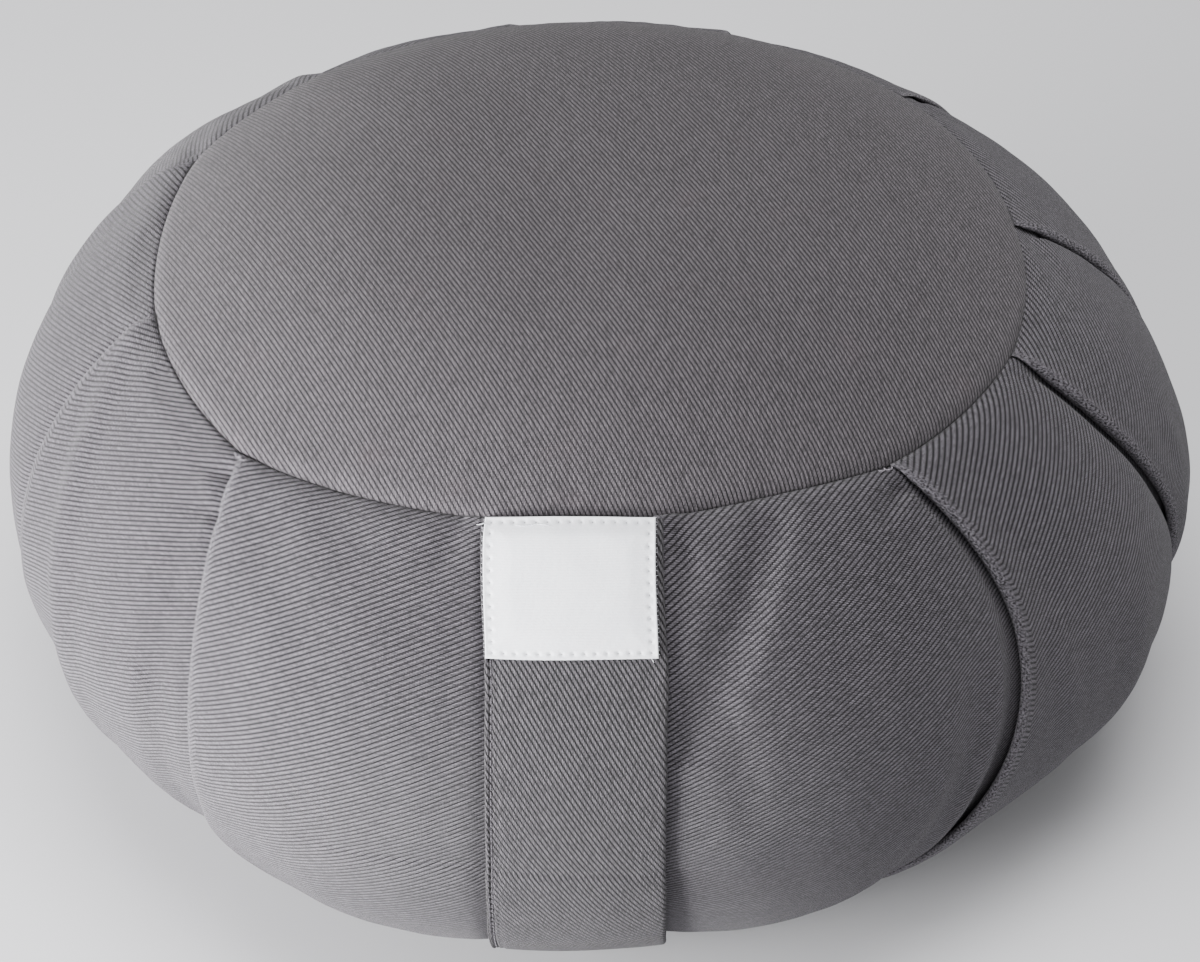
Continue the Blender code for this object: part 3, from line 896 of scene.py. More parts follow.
@dataclass(frozen=True)
class SatinFinish:
    """A white woven label: fine close threads both ways, a slight gloss, and shadow in its needle holes."""

    name: str = "label_satin_weave"
    white: Colour = (247, 248, 251)
    shade: Colour = (222, 224, 233)
    # Painted shadow: the colour given to the cloth in and round each needle hole.
    hole_shadow: Colour = (92, 92, 100)
    warp: float = 0.00030
    weft: float = 0.000405
    weave_share: float = 0.45
    light_share: float = 0.75
    grain_scale: float = 1500.0
    cloud_scale: float = 90.0
    cloud_range: tuple[float, float] = (0.40, 0.75)
    cloud_share: float = 0.35
    hole_range: tuple[float, float] = (0.00012, 0.00055)
    hole_shade: float = 0.85
    relief: float = 0.00004
    roughness: float = 0.62
    rough_spread: float = 0.12

    def material(self) -> Material:
        """Build the label's material."""
        made, graph, surface = new_material(self.name)
        cloth = graph.turned(CLOTH_UV)
        needle = graph.split(graph.turned(SEAM_UV))
        waves = []
        for socket, pitch in zip(graph.split(cloth), (self.warp, self.weft)):
            turns = graph.times(socket, 2.0 * math.pi / pitch)
            waves.append(graph.scaled(graph.calc("COSINE", turns), 0.5, 0.5))
        weave = graph.calc("MAXIMUM", *waves)
        grain = graph.noise(cloth, self.grain_scale)
        share = graph.times(graph.calc("ADD", graph.times(weave, self.weave_share), grain), self.light_share)
        colour = graph.blend(share, screen(*self.shade), screen(*self.white))
        clouds = graph.noise(cloth, self.cloud_scale, 3.0)
        dull = graph.ramp(clouds, *self.cloud_range, 0.0, self.cloud_share)
        colour = graph.blend(dull, colour, screen(*self.shade))
        # Painted shadow: the cloth darkens towards the hole shadow colour close to each needle hole.
        hole = graph.ramp(needle["Y"], *self.hole_range, self.hole_shade, 0.0)
        graph.feed(surface.inputs["Base Color"], graph.blend(hole, colour, screen(*self.hole_shadow)))
        rough = graph.scaled(grain, self.rough_spread, self.roughness - self.rough_spread / 2)
        graph.feed(surface.inputs["Roughness"], rough)
        graph.bump(surface, graph.scaled(weave, self.relief, graph.times(grain, self.relief)))
        surface.inputs["Sheen Weight"].default_value = 0.08
        return made


@dataclass(frozen=True)
class ThreadFinish:
    """A sewing thread: two plies twisted together."""

    name: str
    light: Colour
    dark: Colour
    twist: float = 0.0009
    relief: float = 0.00006
    hair_scale: float = 3000.0

    def material(self) -> Material:
        """Build the thread's material."""
        made, graph, surface = new_material(self.name)
        where = graph.node("ShaderNodeTexCoord").outputs["Object"]
        flat = graph.split(where)
        slant = graph.calc("ADD", graph.calc("ADD", flat["X"], flat["Y"]), flat["Z"])
        ply = graph.scaled(graph.calc("SINE", graph.times(slant, 2.0 * math.pi / self.twist)), 0.5, 0.5)
        share = graph.times(ply, graph.noise(where, self.hair_scale))
        graph.feed(surface.inputs["Base Color"], graph.blend(share, screen(*self.dark), screen(*self.light)))
        graph.bump(surface, graph.times(ply, self.relief))
        surface.inputs["Roughness"].default_value = 0.8
        surface.inputs["Sheen Weight"].default_value = 0.1
        return made


@dataclass
class PleatedBand:
    """The pleated side of the cushion with its filling, closed under both round panels.

    Approach and edge radius are the distances before and past a fold's edge where its section leaves the
    panels. A fold's mouth opens from mouth_share of its width near the seam to all of it lower down.
    """

    layout: PleatLayout
    name: str = "pleated_band"
    rows: int = 172
    panel_steps: int = 38
    approach: float = 0.0016
    edge_radius: float = 0.0019
    front_share: float = 0.55
    sewn_tuck: float = 0.006
    sewn_mouth: float = 0.0007
    sewn_level: float = 0.05
    mouth_share: float = 0.45
    mouth_levels: tuple[float, float] = (0.15, 0.50)
    run_in: float = 0.002
    run_out: float = 0.004
    cloth_shift: float = 0.1013
    tuck_steps: tuple[int, ...] = (3, 3, 3, 3, 3, 4)
    inside_rings: tuple[float, ...] = (0.0, 0.015, 0.05, 0.15, 0.40, 0.70, 1.0)
    inside_depth: float = 0.0024

    def fold_line(self, panel: int, level: float) -> list[tuple[float, float]]:
        """Draw the section of the fold that ends a panel, from the cloth before it to the cloth after.

        Args:
            panel: the panel before the fold.
            level: how far down the band.

        Returns:
            Distances past the fold's edge along the band, each with its rise.
        """
        layout, pleat = self.layout, self.layout.following(panel)
        after = (panel + 1) % len(layout.pleats)
        before_width, after_width = self.width(panel, level), self.width(after, level)
        quick = smooth_step(0.0, self.sewn_level, from_seam(level))
        gape = mix(self.mouth_share, 1.0, smooth_step(*self.mouth_levels, level)) * pleat.mouth
        mouth = mix(self.sewn_mouth, max(gape, self.sewn_mouth), quick)
        tuck = mix(min(pleat.tuck, self.sewn_tuck), pleat.tuck, quick)

        def front(distance: float) -> float:
            """Return the rise of the cloth before the fold."""
            return layout.rise(panel, 1.0 + distance / before_width, level)

        def crest(distance: float) -> float:
            """Return the rise of the cloth after the fold."""
            return layout.rise(after, distance / after_width, level)

        low, high = front(-self.approach), crest(self.edge_radius)
        # In under the fold's edge to the tuck's tip, back out to the edge, and over it.
        points = [
            (-self.approach - self.run_in, front(-self.approach - self.run_in)),
            (-self.approach, low),
            (0.35 * tuck, low),
            (tuck, low + 0.12 * mouth),
            (0.50 * tuck, low + 0.55 * mouth),
            (0.10 * tuck, low + mouth),
            (0.0, mix(low + mouth, high, self.front_share)),
            (self.edge_radius, high),
            (self.edge_radius + self.run_out, crest(self.edge_radius + self.run_out)),
        ]
        return through(points, self.tuck_steps)

    def width(self, panel: int, level: float) -> float:
        """Return a panel's width at a level, from pleat to pleat along the band."""
        start, end = self.layout.span(panel, level)
        reach = self.layout.drum.profile(self.angle(panel, 0.5, level))[0]
        return math.radians(end - start) * reach

    def angle(self, panel: int, share: float, level: float) -> float:
        """Return the profile angle of a place on the band, which runs evenly from seam to seam."""
        top = self.layout.seam_angle(panel, share)
        return mix(top, -top, level)

    def line(self, level: float) -> list[ClothPoint]:
        """Draw one line round the band: each panel, and the tuck that ends it."""
        layout, drum = self.layout, self.layout.drum
        tip = sum(self.tuck_steps[:2])
        points = []
        for panel in range(len(layout.pleats)):
            width = self.width(panel, level)
            start, end = self.edge_radius / width, 1.0 - self.approach / width
            centre = panel * self.cloth_shift
            arc = drum.arc(-layout.seam_angle(panel, 0.5)) - drum.arc(layout.seam_angle(panel, 0.5))
            down, away = level * arc, from_seam(level) * arc
            for step in range(1, self.panel_steps):
                share = mix(start, end, step / self.panel_steps)
                azimuth = layout.azimuth(panel, share, level)
                place = drum.place(azimuth, self.angle(panel, share, level), layout.rise(panel, share, level))
                across = centre + (share - 0.5) * width
                along = math.radians(azimuth) * layout.pleats[panel].seam_radius
                shown = layout.seam_distance(azimuth, away)
                points.append(ClothPoint(place, across, across, down, along, shown, share * width))
            after = (panel + 1) % len(layout.pleats)
            angle = self.angle(after, 0.0, level)
            edge = layout.along(layout.pleats[after], level)
            fold = self.fold_line(panel, level)
            lengths = [0.0]
            for one, two in zip(fold, fold[1:]):
                lengths.append(lengths[-1] + math.dist(one, two))
            entering = centre + (end - 0.5) * width
            leaving = after * self.cloth_shift + self.edge_radius - 0.5 * self.width(after, level)
            reach = drum.profile(angle)[0]
            for i, (distance, rise) in enumerate(fold):
                azimuth = edge + math.degrees(distance / reach)
                inward, outward = entering + lengths[i], leaving - (lengths[-1] - lengths[i])
                before = inward if i <= tip else outward
                next_to = inward if i < tip else outward
                along = math.radians(azimuth) * layout.pleats[after].seam_radius
                past = max(distance, 0.0) if i > tip else FAR
                shown = layout.seam_distance(azimuth, away)
                place = drum.place(azimuth, angle, rise)
                points.append(ClothPoint(place, before, next_to, down, along, shown, past))
        return points

    def inside_line(self, side: Side, inward: float, count: int) -> list[ClothPoint]:
        """Draw a line under a round panel, from the seam (0) to the axis (1)."""
        layout, drum = self.layout, self.layout.drum
        level = 0.0 if side is Side.TOP else 1.0
        each = count // len(layout.pleats)
        points = []
        for panel in range(len(layout.pleats)):
            for step in range(each):
                share = step / each
                seam = layout.seam_angle(panel, share)
                angle = side.value * mix(seam, math.pi / 2, inward)
                azimuth = layout.azimuth(panel, share, level)
                away = drum.arc(seam) - drum.arc(abs(angle))
                rise = layout.roll(away, layout.dip(azimuth)) - self.inside_depth
                points.append(ClothPoint(drum.place(azimuth, angle, rise), 0.0, 0.0, 0.0, 0.0, FAR))
        return points

    def build(self, finish: Material) -> Object:
        """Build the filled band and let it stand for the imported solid."""
        band = [self.line(row / self.rows) for row in range(self.rows + 1)]
        count = len(band[0])
        top = [self.inside_line(Side.TOP, ring, count) for ring in reversed(self.inside_rings)]
        bottom = [self.inside_line(Side.BOTTOM, ring, count) for ring in self.inside_rings]
        mesh = bend_grid(self.name, top + band + bottom, closed=True)
        close_ends(mesh)
        piece = add_piece(self.name, mesh, finish)
        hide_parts("filled_cushion")
        return piece


@dataclass
class RoundPanel:
    """A round panel of crowned cloth, drawn in and turned under at its seam.

    The waves of its middle and the pulls along its seam each have two lengths and a height.
    """

    layout: PleatLayout
    side: Side
    name: str
    node: str
    rings: int = 60
    steps: int = 26
    ring_power: float = 1.7
    cloth: float = 0.0012
    seam_gap: float = 0.0003
    turned_in: float = 0.0016
    flat_radius: float = 0.148
    draw_in: float = 1.6
    wave_size: tuple[float, float, float] = (0.035, 0.045, 0.00040)
    wave_fade: float = 0.012
    pull_size: tuple[float, float, float] = (0.0065, 0.020, 0.00022)
    pull_start: float = 0.003
    pull_end: tuple[float, float] = (0.004, 0.030)
    pull_radius: float = 0.14

    def point(self, panel: int, share: float, inward: float) -> ClothPoint:
        """Return a point of the panel a share of the way from its seam to its middle."""
        layout, drum = self.layout, self.layout.drum
        level = 0.0 if self.side is Side.TOP else 1.0
        seam = layout.seam_angle(panel, share)
        angle = mix(seam, math.pi / 2, mix(self.seam_gap / self.flat_radius, 1.0, max(inward, 0.0)))
        azimuth = layout.azimuth(panel, share, level)
        turn = math.radians(azimuth)
        arc = drum.arc(angle)
        away = drum.arc(seam) - arc
        flat = Vector((math.sin(turn), -math.cos(turn))) * arc
        rise = layout.roll(away * self.draw_in, layout.dip(azimuth))
        fade = smooth_step(0.0, self.wave_fade, away) if self.side is Side.TOP else 0.0
        wide, long, height = self.wave_size
        rise += fade * height * ripple(flat.x / wide, flat.y / long, 3.0)
        near = smooth_step(0.0, self.pull_start, away) * (1.0 - smooth_step(*self.pull_end, away))
        wide, long, height = self.pull_size
        rise += near * height * ripple(turn * self.pull_radius / wide, away / long, 9.0)
        if inward < 0.0:
            rise -= self.turned_in
        place = drum.place(azimuth, self.side.value * angle, rise)
        return ClothPoint(place, flat.x, flat.x, -flat.y, turn * arc, layout.seam_distance(azimuth, away))

    def build(self, finish: Material, threads: Sequence[Object] = ()) -> Object:
        """Build the panel's sheet, its edge turned down into the seam."""
        insets = [-1.0] + [(ring / self.rings) ** self.ring_power for ring in range(self.rings + 1)]
        lines = []
        for inset in insets:
            lines.append([
                self.point(panel, step / self.steps, inset)
                for panel in range(len(self.layout.pleats)) for step in range(self.steps)
            ])
        mesh = bend_grid(self.name, lines, closed=True)
        face_like(mesh, Vector((0.0, 0.0, self.side.value)))
        piece = add_piece(self.name, mesh, finish)
        give_thickness(piece, self.cloth, -1.0)
        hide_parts(self.node)
        list(threads)
        return piece


@dataclass
class SeamThreads:
    """Small loops of sewing thread that lie over the top seam, beside some of its pleats.

    Each loop has the name of the pleat before its panel, a share of the way across it, and a size. It
    starts and ends a little below the seam and reaches down from there, both in shares of its size.
    """

    layout: PleatLayout
    name: str = "seam_threads"
    radius: float = 0.00015
    loops: tuple[tuple[str, float, float], ...] = (
        ("left", 0.985, 0.0012), ("front_left", 0.022, 0.0014), ("beside_strap", 0.950, 0.0010),
        ("beside_strap", 0.978, 0.0012),
    )
    steps: int = 8
    start: float = 0.45
    reach: float = 0.85
    seam_radius: float = 0.134
    lift: float = 0.0008

    def build(self, thread: Material) -> Object:
        """Build the loops, each an arch down the band from the seam."""
        layout = self.layout
        names = [pleat.name for pleat in layout.pleats]
        paths = []
        for name, share, size in self.loops:
            panel = names.index(name)
            top = layout.seam_angle(panel, share)
            path = []
            for step in range(self.steps + 1):
                turn = math.pi * step / self.steps
                level = size * (self.start + self.reach * math.sin(turn)) / layout.band_arc
                beside = math.degrees(size * math.cos(turn) / self.seam_radius)
                azimuth = layout.azimuth(panel, share, level) + beside
                rise = layout.rise(panel, share, level) + self.radius + self.lift
                path.append(layout.drum.place(azimuth, mix(top, -top, level), rise))
            paths.append(path)
        return add_piece(self.name, thread_tube(self.name, paths, self.radius), thread)


@dataclass
class CarryStrap:
    """The flat double strap over the band, hemmed and stitched along its left edge.

    Groove, hem and bead run along that edge: each has a distance from it, a depth or height and a width.
    """

    layout: PleatLayout
    name: str = "carry_strap_cloth"
    width: float = 0.050
    cloth: float = 0.0022
    sewn_cloth: float = 0.0012
    gap: float = 0.0007
    sewn_gap: float = 0.0003
    end: float = 0.0012
    dive: float = 0.006
    seam_azimuth: float = -2.75
    waist_azimuth: float = -1.75
    straight_level: float = 0.25
    rows: int = 292
    top_steps: int = 64
    under_steps: int = 12
    round_steps: int = 6
    pitch: float = 0.0028
    groove_at: float = 0.0019
    groove_depth: float = 0.00080
    groove_width: float = 0.00055
    hem_at: float = 0.0036
    hem_depth: float = 0.00028
    hem_width: float = 0.0005
    groove_bottom: float = 0.45
    bead_at: float = 0.0007
    bead_height: float = 0.00030
    bead_width: float = 0.00055
    tilt: float = 0.0022
    tilt_levels: tuple[float, float] = (0.55, 0.85)
    wave_size: tuple[float, float, float] = (0.016, 0.030, 0.00022)
    wander: float = 0.00035
    wander_length: float = 0.018
    stitch_share: float = 0.40
    stitch_width: float = 0.00026
    stitch_height: float = 0.00020
    stitch_lift: float = 0.00002
    edge_crowding: float = 1.35
    relief_from: float = 0.3

    def middle(self, level: float) -> float:
        """Return the azimuth of the strap's middle line."""
        return mix(self.seam_azimuth, self.waist_azimuth, smooth_step(0.0, self.straight_level, level))

    def place(self, across: float, distance: float, rise: float) -> Vector:
        """Return a point of the strap.

        Args:
            across: the distance from its middle line, towards +X.
            distance: the distance down from the top seam.
            rise: the distance outwards from the strap's inner face.

        Returns:
            The point's place.
        """
        layout, drum = self.layout, self.layout.drum
        level = distance / layout.band_arc
        top = layout.seam_angle(layout.strap_panel, min(max(0.5 + across / self.width, 0.0), 1.0))
        angle = mix(top, -top, level)
        azimuth = self.middle(level) + math.degrees(across / drum.profile(angle)[0])
        inner = layout.rise(layout.strap_panel, 0.5, level, fine=False)
        sewn = self.sewn(distance)
        inner -= self.tilt * across / self.width * smooth_step(*self.tilt_levels, level) * (1.0 - sewn)
        return drum.place(azimuth, angle, inner + mix(self.gap, self.sewn_gap, sewn) + rise)

    def sewn(self, distance: float) -> float:
        """Return 1 where a seam presses the strap flat, and 0 away from both ends."""
        near = min(distance - self.end, self.layout.band_arc - self.end - distance)
        return 1.0 - smooth_step(0.0, self.dive, near)

    def thickness(self, distance: float) -> float:
        """Return how thick the strap is at a distance down from the top seam."""
        return mix(self.cloth, self.sewn_cloth, self.sewn(distance))

    def relief(self, across: float, distance: float) -> float:
        """Return how far the strap's face stands out at a place: its stitched groove, hem and slow waves."""
        from_edge = across + self.width / 2
        free = 1.0 - self.sewn(distance)
        beat = 0.5 + 0.5 * math.cos(2.0 * math.pi * distance / self.pitch)
        depth = self.groove_depth * mix(self.groove_bottom, 1.0, beat)
        rise = -depth * bump(from_edge - self.groove_at, self.groove_width * 2)
        rise -= self.hem_depth * bump(from_edge - self.hem_at, self.hem_width * 2)
        rise += self.bead_height * (1.0 - 2.0 * beat) * bump(from_edge - self.bead_at, self.bead_width * 2)
        wide, long, height = self.wave_size
        rise += height * ripple(across / wide, distance / long, 4.0)
        return rise * free

    def section(self, distance: float) -> list[ClothPoint]:
        """Draw the strap's closed section at a distance down from the top seam."""
        thick, half = self.thickness(distance), self.width / 2
        radius = thick / 2
        flat = half - radius
        outline = []
        for step in range(self.under_steps):
            outline.append((mix(flat, -flat, step / self.under_steps), 0.0))
        for step in range(self.round_steps):
            turn = math.pi * step / self.round_steps
            outline.append((-flat - radius * math.sin(turn), radius - radius * math.cos(turn)))
        for step in range(self.top_steps):
            share = (step / self.top_steps) ** self.edge_crowding
            outline.append((mix(-flat, flat, share), thick))
        for step in range(self.round_steps):
            turn = math.pi * step / self.round_steps
            outline.append((flat + radius * math.sin(turn), radius + radius * math.cos(turn)))
        length, last, points = 0.0, outline[0], []
        for across, rise in outline:
            length += math.dist(last, (across, rise))
            last = (across, rise)
            shown = smooth_step(self.relief_from, 1.0, rise / thick)
            lifted = rise + self.relief(across, distance) * shown
            place = self.place(across + self.edge_wander(across, distance), distance, lifted)
            points.append(ClothPoint(place, length, length, distance, distance, FAR))
        return points

    def edge_wander(self, across: float, distance: float) -> float:
        """Return how far the edges wander from a straight line."""
        wave = ripple(distance / self.wander_length, 2.0, math.copysign(5.0, across))
        return self.wander * (across / self.width) * wave

    def build(self, finish: Material, thread: Material) -> Object:
        """Build the strap and the stitches along its left edge."""
        length = self.layout.band_arc - 2 * self.end
        lines = [self.section(self.end + length * row / self.rows) for row in range(self.rows + 1)]
        mesh = bend_grid(self.name, lines, closed=True)
        close_ends(mesh)
        piece = add_piece(self.name, mesh, finish)
        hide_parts("carry_strap")
        stitches = self.stitch_row(thread)
        return piece

    def stitch_row(self, thread: Material) -> Object:
        """Sew the row of topstitches in the strap's groove."""
        shape = bmesh.new()
        count = int((self.layout.band_arc - 2 * self.dive) / self.pitch)
        across = -self.width / 2 + self.groove_at
        for i in range(1, count):
            distance = (i + 0.5) * self.pitch
            if distance > self.layout.band_arc - self.dive:
                break
            lift = self.thickness(distance) + self.relief(across, distance) + self.stitch_lift
            away = self.pitch * self.stitch_share
            start, end = (self.place(across, distance + step, lift) for step in (-away, away))
            out = self.place(across, distance, lift + OUT_STEP) - self.place(across, distance, lift)
            add_stitch(shape, start, end, out, self.stitch_width, self.stitch_height)
        return add_piece("strap_stitches", as_mesh("strap_stitches", shape), thread)


def add_stitch(shape: BMesh, start: Vector, end: Vector, out: Vector, width: float, height: float) -> None:
    """Add one stitch to a bmesh: a short rounded thread that lies on the cloth from start to end.

    Args:
        shape: the bmesh that the stitch goes into.
        start: where the thread comes up.
        end: where it goes down.
        out: the direction away from the cloth.
        width: half the thread's width.
        height: half its height.
    """
    made = bmesh.ops.create_uvsphere(shape, u_segments=8, v_segments=7, radius=1.0)
    run = end - start
    forward, up = run.normalized(), out.normalized()
    side = up.cross(forward).normalized()
    half = run.length / 2
    turn = Matrix((side, forward, up)).transposed()
    size = Matrix.Diagonal((width, half, height))
    middle = (start + end) / 2
    for vertex in made["verts"]:
        vertex.co = middle + turn @ (size @ Vector((vertex.co.x, vertex.co.z, vertex.co.y)))


def thread_tube(
    name: str, paths: Sequence[Sequence[Vector]], radius: float, sides: int = 6, taper: float = 0.25
) -> Mesh:
    """Make threads along paths: round in section and tapered at both ends.

    Args:
        name: the mesh's name.
        paths: the points that each thread follows.
        radius: each thread's radius.
        sides: the faces round a thread.
        taper: the share of its radius that a thread's ends keep.

    Returns:
        One mesh that holds all the threads.
    """
    joined = bmesh.new()
    for path in paths:
        lines = []
        for i, centre in enumerate(path):
            before, after = path[max(i - 1, 0)], path[min(i + 1, len(path) - 1)]
            forward = (after - before).normalized()
            side = forward.orthogonal().normalized()
            up = forward.cross(side)
            thick = radius * (taper if i in (0, len(path) - 1) else 1.0)
            lines.append([
                ClothPoint(centre + thick * (math.cos(turn) * side + math.sin(turn) * up), *[0.0] * 5)
                for turn in (2 * math.pi * step / sides for step in range(sides))
            ])
        part = bend_grid(name, lines, closed=True)
        close_ends(part)
        joined.from_mesh(part)
        bpy.data.meshes.remove(part)
    return as_mesh(name, joined)


@dataclass
class SewnLabel:
    """The small white woven label at the strap's upper end, left bare.

    Its cloth cockles a little, stands higher inside its stitches and has a thin raised selvedge. Its
    sides fray and its foot hangs unevenly: each has a reach, a length and where it starts. The fibres of
    its cut edges are short threads.
    """

    strap: CarryStrap
    name: str = "sewn_label_cloth"
    width: float = 0.0465
    height: float = 0.0382
    shift: float = -0.0005
    cloth: float = 0.0005
    gap: float = 0.00025
    columns: int = 150
    rows: int = 124
    pitch: float = 0.0031
    inset_side: float = 0.0018
    inset_foot: float = 0.0016
    inset_top: float = 0.0016
    hole: float = 0.00055
    hole_depth: float = 0.00040
    thread_radius: float = 0.00019
    thread_spread: float = 1.3
    cockle: tuple[float, float, float] = (0.011, 0.009, 0.00016)
    puff: float = 0.00030
    puff_reach: tuple[float, float] = (0.002, 0.008)
    selvedge: float = 0.00018
    selvedge_width: float = 0.0009
    bow: float = 0.0002
    bow_from: float = 0.6
    bow_turns: float = 1.6
    fray: tuple[float, float, float] = (0.00014, 0.0007, 0.94)
    hang: tuple[float, float, float] = (0.00010, 0.0009, 0.95)
    lean: float = 0.0006
    lean_right: float = 0.7
    stitch_from: float = 0.10
    stitch_to: float = 0.88
    stitch_lift: float = 0.00004
    loose_radius: float = 0.00013
    loose_lift: float = 0.0002
    fibre_count: int = 64
    fibre_radius: float = 0.00007
    fibre_level: float = 0.6
    fibre_root: float = 0.0002
    fibre_length: float = 0.0004
    fibre_spread: float = 0.0005
    fibre_slant: float = 0.0006

    def __post_init__(self) -> None:
        """Set out the stitches round the label, as (across, down) pairs at each hole."""
        left, right = -self.width / 2 + self.inset_side, self.width / 2 - self.inset_side
        top, foot = self.inset_top, self.height - self.inset_foot
        corners = ((left, top), (right, top), (right, foot), (left, foot), (left, top))
        self.runs: list[tuple[tuple[float, float], tuple[float, float]]] = []
        self.holes: list[tuple[float, float]] = []
        for (x0, y0), (x1, y1) in zip(corners, corners[1:]):
            length = math.hypot(x1 - x0, y1 - y0)
            count = max(round(length / self.pitch), 1)
            spots = [(mix(x0, x1, i / count), mix(y0, y1, i / count)) for i in range(count + 1)]
            self.holes += spots[:-1]
            self.runs += list(zip(spots, spots[1:]))

    def face(self, across: float, down: float) -> float:
        """Return how far the label's face stands off the strap's: its holes, channel and slight cockle."""
        wide, long, height = self.cockle
        rise = height * ripple(across / wide, down / long, 2.0)
        inner = min(self.width / 2 - abs(across), down, self.height - down)
        rise += self.puff * smooth_step(*self.puff_reach, inner)
        rise += self.selvedge * (1.0 - smooth_step(0.0, self.selvedge_width, inner))
        for x, y in self.holes:
            if abs(across - x) < 2 * self.hole and abs(down - y) < 2 * self.hole:
                rise -= self.hole_depth * bump(math.hypot(across - x, down - y), 2 * self.hole)
        return rise

    def ragged(self, across: float, down: float) -> tuple[float, float]:
        """Return a place moved by the uneven cut of the label's edges."""
        side, drop = abs(across) / (self.width / 2), down / self.height
        turn = math.pi * (across / self.width + 0.5) * self.bow_turns
        bow = self.bow * smooth_step(self.bow_from, 1.0, drop) * math.sin(turn)
        reach, length, start = self.fray
        fray = reach * ripple(down / length, across, 8.0) * smooth_step(start, 1.0, side)
        reach, length, start = self.hang
        hang = reach * ripple(across / length, down, 6.0) * smooth_step(start, 1.0, drop)
        lean = self.lean * drop * (-1.0 if across < 0 else -self.lean_right) * side
        return across + math.copysign(fray, across) + lean, down + bow + hang

    def place(self, across: float, down: float, lift: float = 0.0) -> Vector:
        """Return a point of the label's inner face, or above it."""
        strap = self.strap
        moved, dropped = self.ragged(across, down)
        distance = strap.end + dropped
        under = strap.thickness(distance) + self.gap + self.face(across, down)
        return strap.place(moved + self.shift, distance, under + lift)

    def build(self, finish: Material, thread: Material) -> Object:
        """Build the label, its stitches, its loose threads and the fibres of its cut edges."""
        lines = []
        for row in range(self.rows + 1):
            down = self.height * row / self.rows
            line = []
            for column in range(self.columns + 1):
                across = (column / self.columns - 0.5) * self.width
                # The distance to the nearest needle hole goes on the seam map, for the painted hole shadow.
                away = min(math.dist((across, down), hole) for hole in self.holes)
                line.append(ClothPoint(self.place(across, down), across, across, down, across, away))
            lines.append(line)
        mesh = bend_grid(self.name, lines, closed=False)
        face_like(mesh, Vector((0.0, -1.0, 0.0)))
        piece = add_piece(self.name, mesh, finish)
        give_thickness(piece, self.cloth, 1.0)
        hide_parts("sewn_label")
        parts = [self.stitches(thread), self.loose_threads(thread), self.fibres(thread)]
        return piece

    def stitches(self, thread: Material) -> Object:
        """Sew the label's white stitches from hole to hole."""
        shape = bmesh.new()
        for (x0, y0), (x1, y1) in self.runs:
            begin, finish = (
                (mix(x0, x1, share), mix(y0, y1, share)) for share in (self.stitch_from, self.stitch_to)
            )
            lift = self.cloth + self.stitch_lift
            start, end = self.place(*begin, lift), self.place(*finish, lift)
            out = self.place(*begin, lift + OUT_STEP) - start
            add_stitch(shape, start, end, out, self.thread_radius * self.thread_spread, self.thread_radius)
        return add_piece("label_stitches", as_mesh("label_stitches", shape), thread)

    def loose_threads(self, thread: Material) -> Object:
        """Lay the loose ends of sewing thread, each point an (across, down, share of the lift).

        The tail leaves the upper left corner, the stray thread lies below the top edge, and the tip
        stands out of the lower right corner.
        """
        half, foot, lift = self.width / 2, self.height, self.cloth + self.loose_lift
        tail = ((-half + 0.0016, 0.0021, 1.0), (-half - 0.0002, 0.0019, 1.0), (-half - 0.0012, 0.0022, 0.7),
                (-half - 0.0022, 0.0023, 0.4))
        stray = [(-half + 0.0085 + 0.0012 * i, 0.0024 + 0.00025 * math.sin(i * 0.9), 0.9) for i in range(9)]
        tip = ((half - 0.0022, foot - 0.0002, 1.0), (half - 0.0016, foot + 0.0006, 0.8),
               (half - 0.0013, foot + 0.0012, 0.5))
        paths = [[self.place(x, y, lift * share) for x, y, share in path] for path in (tail, stray, tip)]
        mesh = thread_tube("label_threads", paths, self.loose_radius)
        return add_piece("label_threads", mesh, thread)

    def fibres(self, thread: Material) -> Object:
        """Fray the label's cut sides with short fibres."""
        paths = []
        for i in range(self.fibre_count):
            down = self.height * (i + 0.5 * ripple(i * 1.7, 0.3, 1.0)) / self.fibre_count
            side = -1.0 if i % 2 else 1.0
            reach = self.fibre_length + self.fibre_spread * abs(ripple(i * 0.9, 5.0, 2.0))
            slant = self.fibre_slant * ripple(i * 1.3, 7.0, 4.0)
            spots = ((-self.fibre_root, 0.0), (reach / 2, slant / 3), (reach, slant))
            paths.append([
                self.place(side * (self.width / 2 + past), down + drop, self.cloth * self.fibre_level)
                for past, drop in spots
            ])
        mesh = thread_tube("label_fibres", paths, self.fibre_radius, sides=3)
        return add_piece("label_fibres", mesh, thread)


@dataclass(frozen=True)
class SoftBox:
    """A large flat lamp that looks at the cushion."""

    name: str
    azimuth: float
    elevation: float
    distance: float
    width: float
    height: float
    power: float

    def build(self, target: Vector) -> None:
        """Hang the lamp at its angle round the cushion and aim it."""
        lamp = bpy.data.lights.new(self.name, "AREA")
        lamp.shape = "RECTANGLE"
        lamp.size, lamp.size_y = self.width, self.height
        lamp.energy = self.power
        hung = bpy.data.objects.new(self.name, lamp)
        turn, climb = math.radians(self.azimuth), math.radians(self.elevation)
        away = Vector((math.sin(turn) * math.cos(climb), -math.cos(turn) * math.cos(climb), math.sin(climb)))
        hung.location = target + away * self.distance
        hung.rotation_euler = (-away).to_track_quat("-Z", "Y").to_euler()
        bpy.context.scene.collection.objects.link(hung)


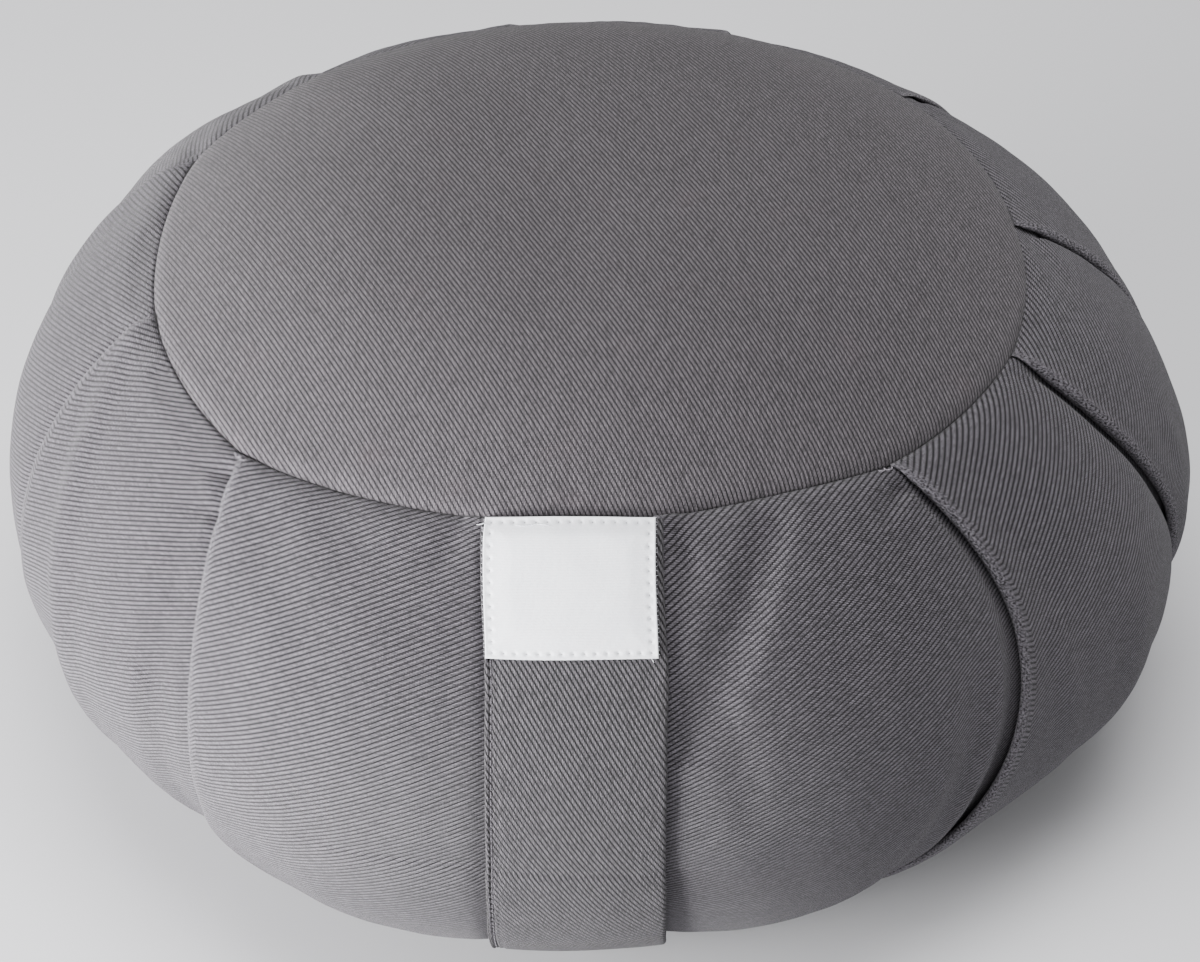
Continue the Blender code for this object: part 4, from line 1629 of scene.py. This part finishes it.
@dataclass
class Studio:
    """The pale floor, the soft lamps and the camera at the photograph's angle."""

    target: Vector = field(default_factory=lambda: Vector((-0.0003, -0.0004, 0.0828)))
    camera_elevation: float = 37.2
    camera_distance: float = 1.26
    aim_right: float = 0.00152
    aim_down: float = 0.00783
    lens: float = 122.09
    sensor: float = 36.0
    floor_size: float = 6.0
    floor_white: Colour = (208, 208, 211)
    sky: float = 0.50
    lamps: tuple[SoftBox, ...] = (
        SoftBox("low_left", -58.0, 2.0, 0.90, 0.5, 0.20, 22.5),
        SoftBox("key_left", -61.0, 7.0, 1.30, 0.8, 0.5, 46.0),
        SoftBox("top_front", 12.0, 80.0, 1.50, 1.0, 0.8, 30.5),
    )

    def build(self) -> None:
        """Set up the floor, the light and the camera."""
        self.lay_floor()
        self.light_room()
        for lamp in self.lamps:
            lamp.build(self.target)
        self.set_camera()

    def lay_floor(self) -> None:
        """Lay the pale floor under the cushion."""
        shape = bmesh.new()
        bmesh.ops.create_grid(shape, x_segments=8, y_segments=8, size=self.floor_size)
        mesh = as_mesh("studio_floor", shape)
        floor = bpy.data.objects.new("studio_floor", mesh)
        bpy.context.scene.collection.objects.link(floor)
        paper, _, surface = new_material("studio_paper")
        surface.inputs["Base Color"].default_value = screen(*self.floor_white)
        surface.inputs["Roughness"].default_value = 0.9
        mesh.materials.append(paper)
        floor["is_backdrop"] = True

    def light_room(self) -> None:
        """Fill the room with even pale light."""
        room = bpy.data.worlds.new("studio_room")
        room.use_nodes = True
        glow = room.node_tree.nodes["Background"]
        glow.inputs["Color"].default_value = (1.0, 1.0, 1.0, 1.0)
        glow.inputs["Strength"].default_value = self.sky
        bpy.context.scene.world = room

    def set_camera(self) -> None:
        """Put the camera where the photograph was taken from."""
        climb = math.radians(self.camera_elevation)
        back = Vector((0.0, -math.cos(climb), math.sin(climb)))
        up = Vector((0.0, math.sin(climb), math.cos(climb)))
        data = bpy.data.cameras.new("studio_camera")
        data.sensor_width = self.sensor
        data.lens = self.lens
        camera = bpy.data.objects.new("studio_camera", data)
        camera.location = self.target + back * self.camera_distance
        aim = self.target + Vector((self.aim_right, 0.0, 0.0)) - up * self.aim_down
        camera.rotation_euler = (aim - camera.location).to_track_quat("-Z", "Y").to_euler()
        bpy.context.scene.collection.objects.link(camera)
        bpy.context.scene.camera = camera


# Each twill's second colour is painted shade for the hollows of its weave.
BAND_TWILL = TwillFinish("band_twill_weave", (104, 100, 107), (20, 17, 21), (96, 82, 84), turn=-91.8)
PANEL_TWILL = TwillFinish("panel_twill_weave", (97, 92, 97), (27, 24, 28), (84, 68, 72), relief=0.00023,
                          gap_height=0.09, warm_share=0.10)
STRAP_TWILL = TwillFinish("strap_twill_weave", (101, 97, 103), (11, 9, 12), (82, 70, 72), turn=-2.3,
                          gap_height=0.24, relief=0.00058, speckle=1.30)
GREY_THREAD = ThreadFinish("grey_thread", (118, 113, 121), (52, 49, 54))
PALE_THREAD = ThreadFinish("pale_thread", (186, 180, 188), (112, 106, 114))
WHITE_THREAD = ThreadFinish("white_thread", (244, 245, 248), (206, 208, 216))


def write_sizes() -> None:
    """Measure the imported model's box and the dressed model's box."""
    boxes = [[list(corner) for corner in box] for box in (CAD_BOX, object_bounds())]


def main() -> None:
    """Build and dress each piece, then the studio."""
    logging.basicConfig(level=logging.INFO, format="%(message)s")
    weave, seams = TwillWeave().group(), SeamPull().group()
    layout = PleatLayout(Drum())
    PleatedBand(layout).build(BAND_TWILL.material(weave, seams))
    panel_cloth, grey_thread = PANEL_TWILL.material(weave, seams), GREY_THREAD.material()
    threads = SeamThreads(layout).build(PALE_THREAD.material())
    RoundPanel(layout, Side.TOP, "top_panel_cloth", "top_panel").build(panel_cloth, [threads])
    RoundPanel(layout, Side.BOTTOM, "bottom_panel_cloth", "bottom_panel").build(panel_cloth)
    strap = CarryStrap(layout)
    strap.build(STRAP_TWILL.material(weave, seams), grey_thread)
    SewnLabel(strap).build(SatinFinish().material(), WHITE_THREAD.material())
    Studio().build()
    write_sizes()


if __name__ == "__main__":
    main()
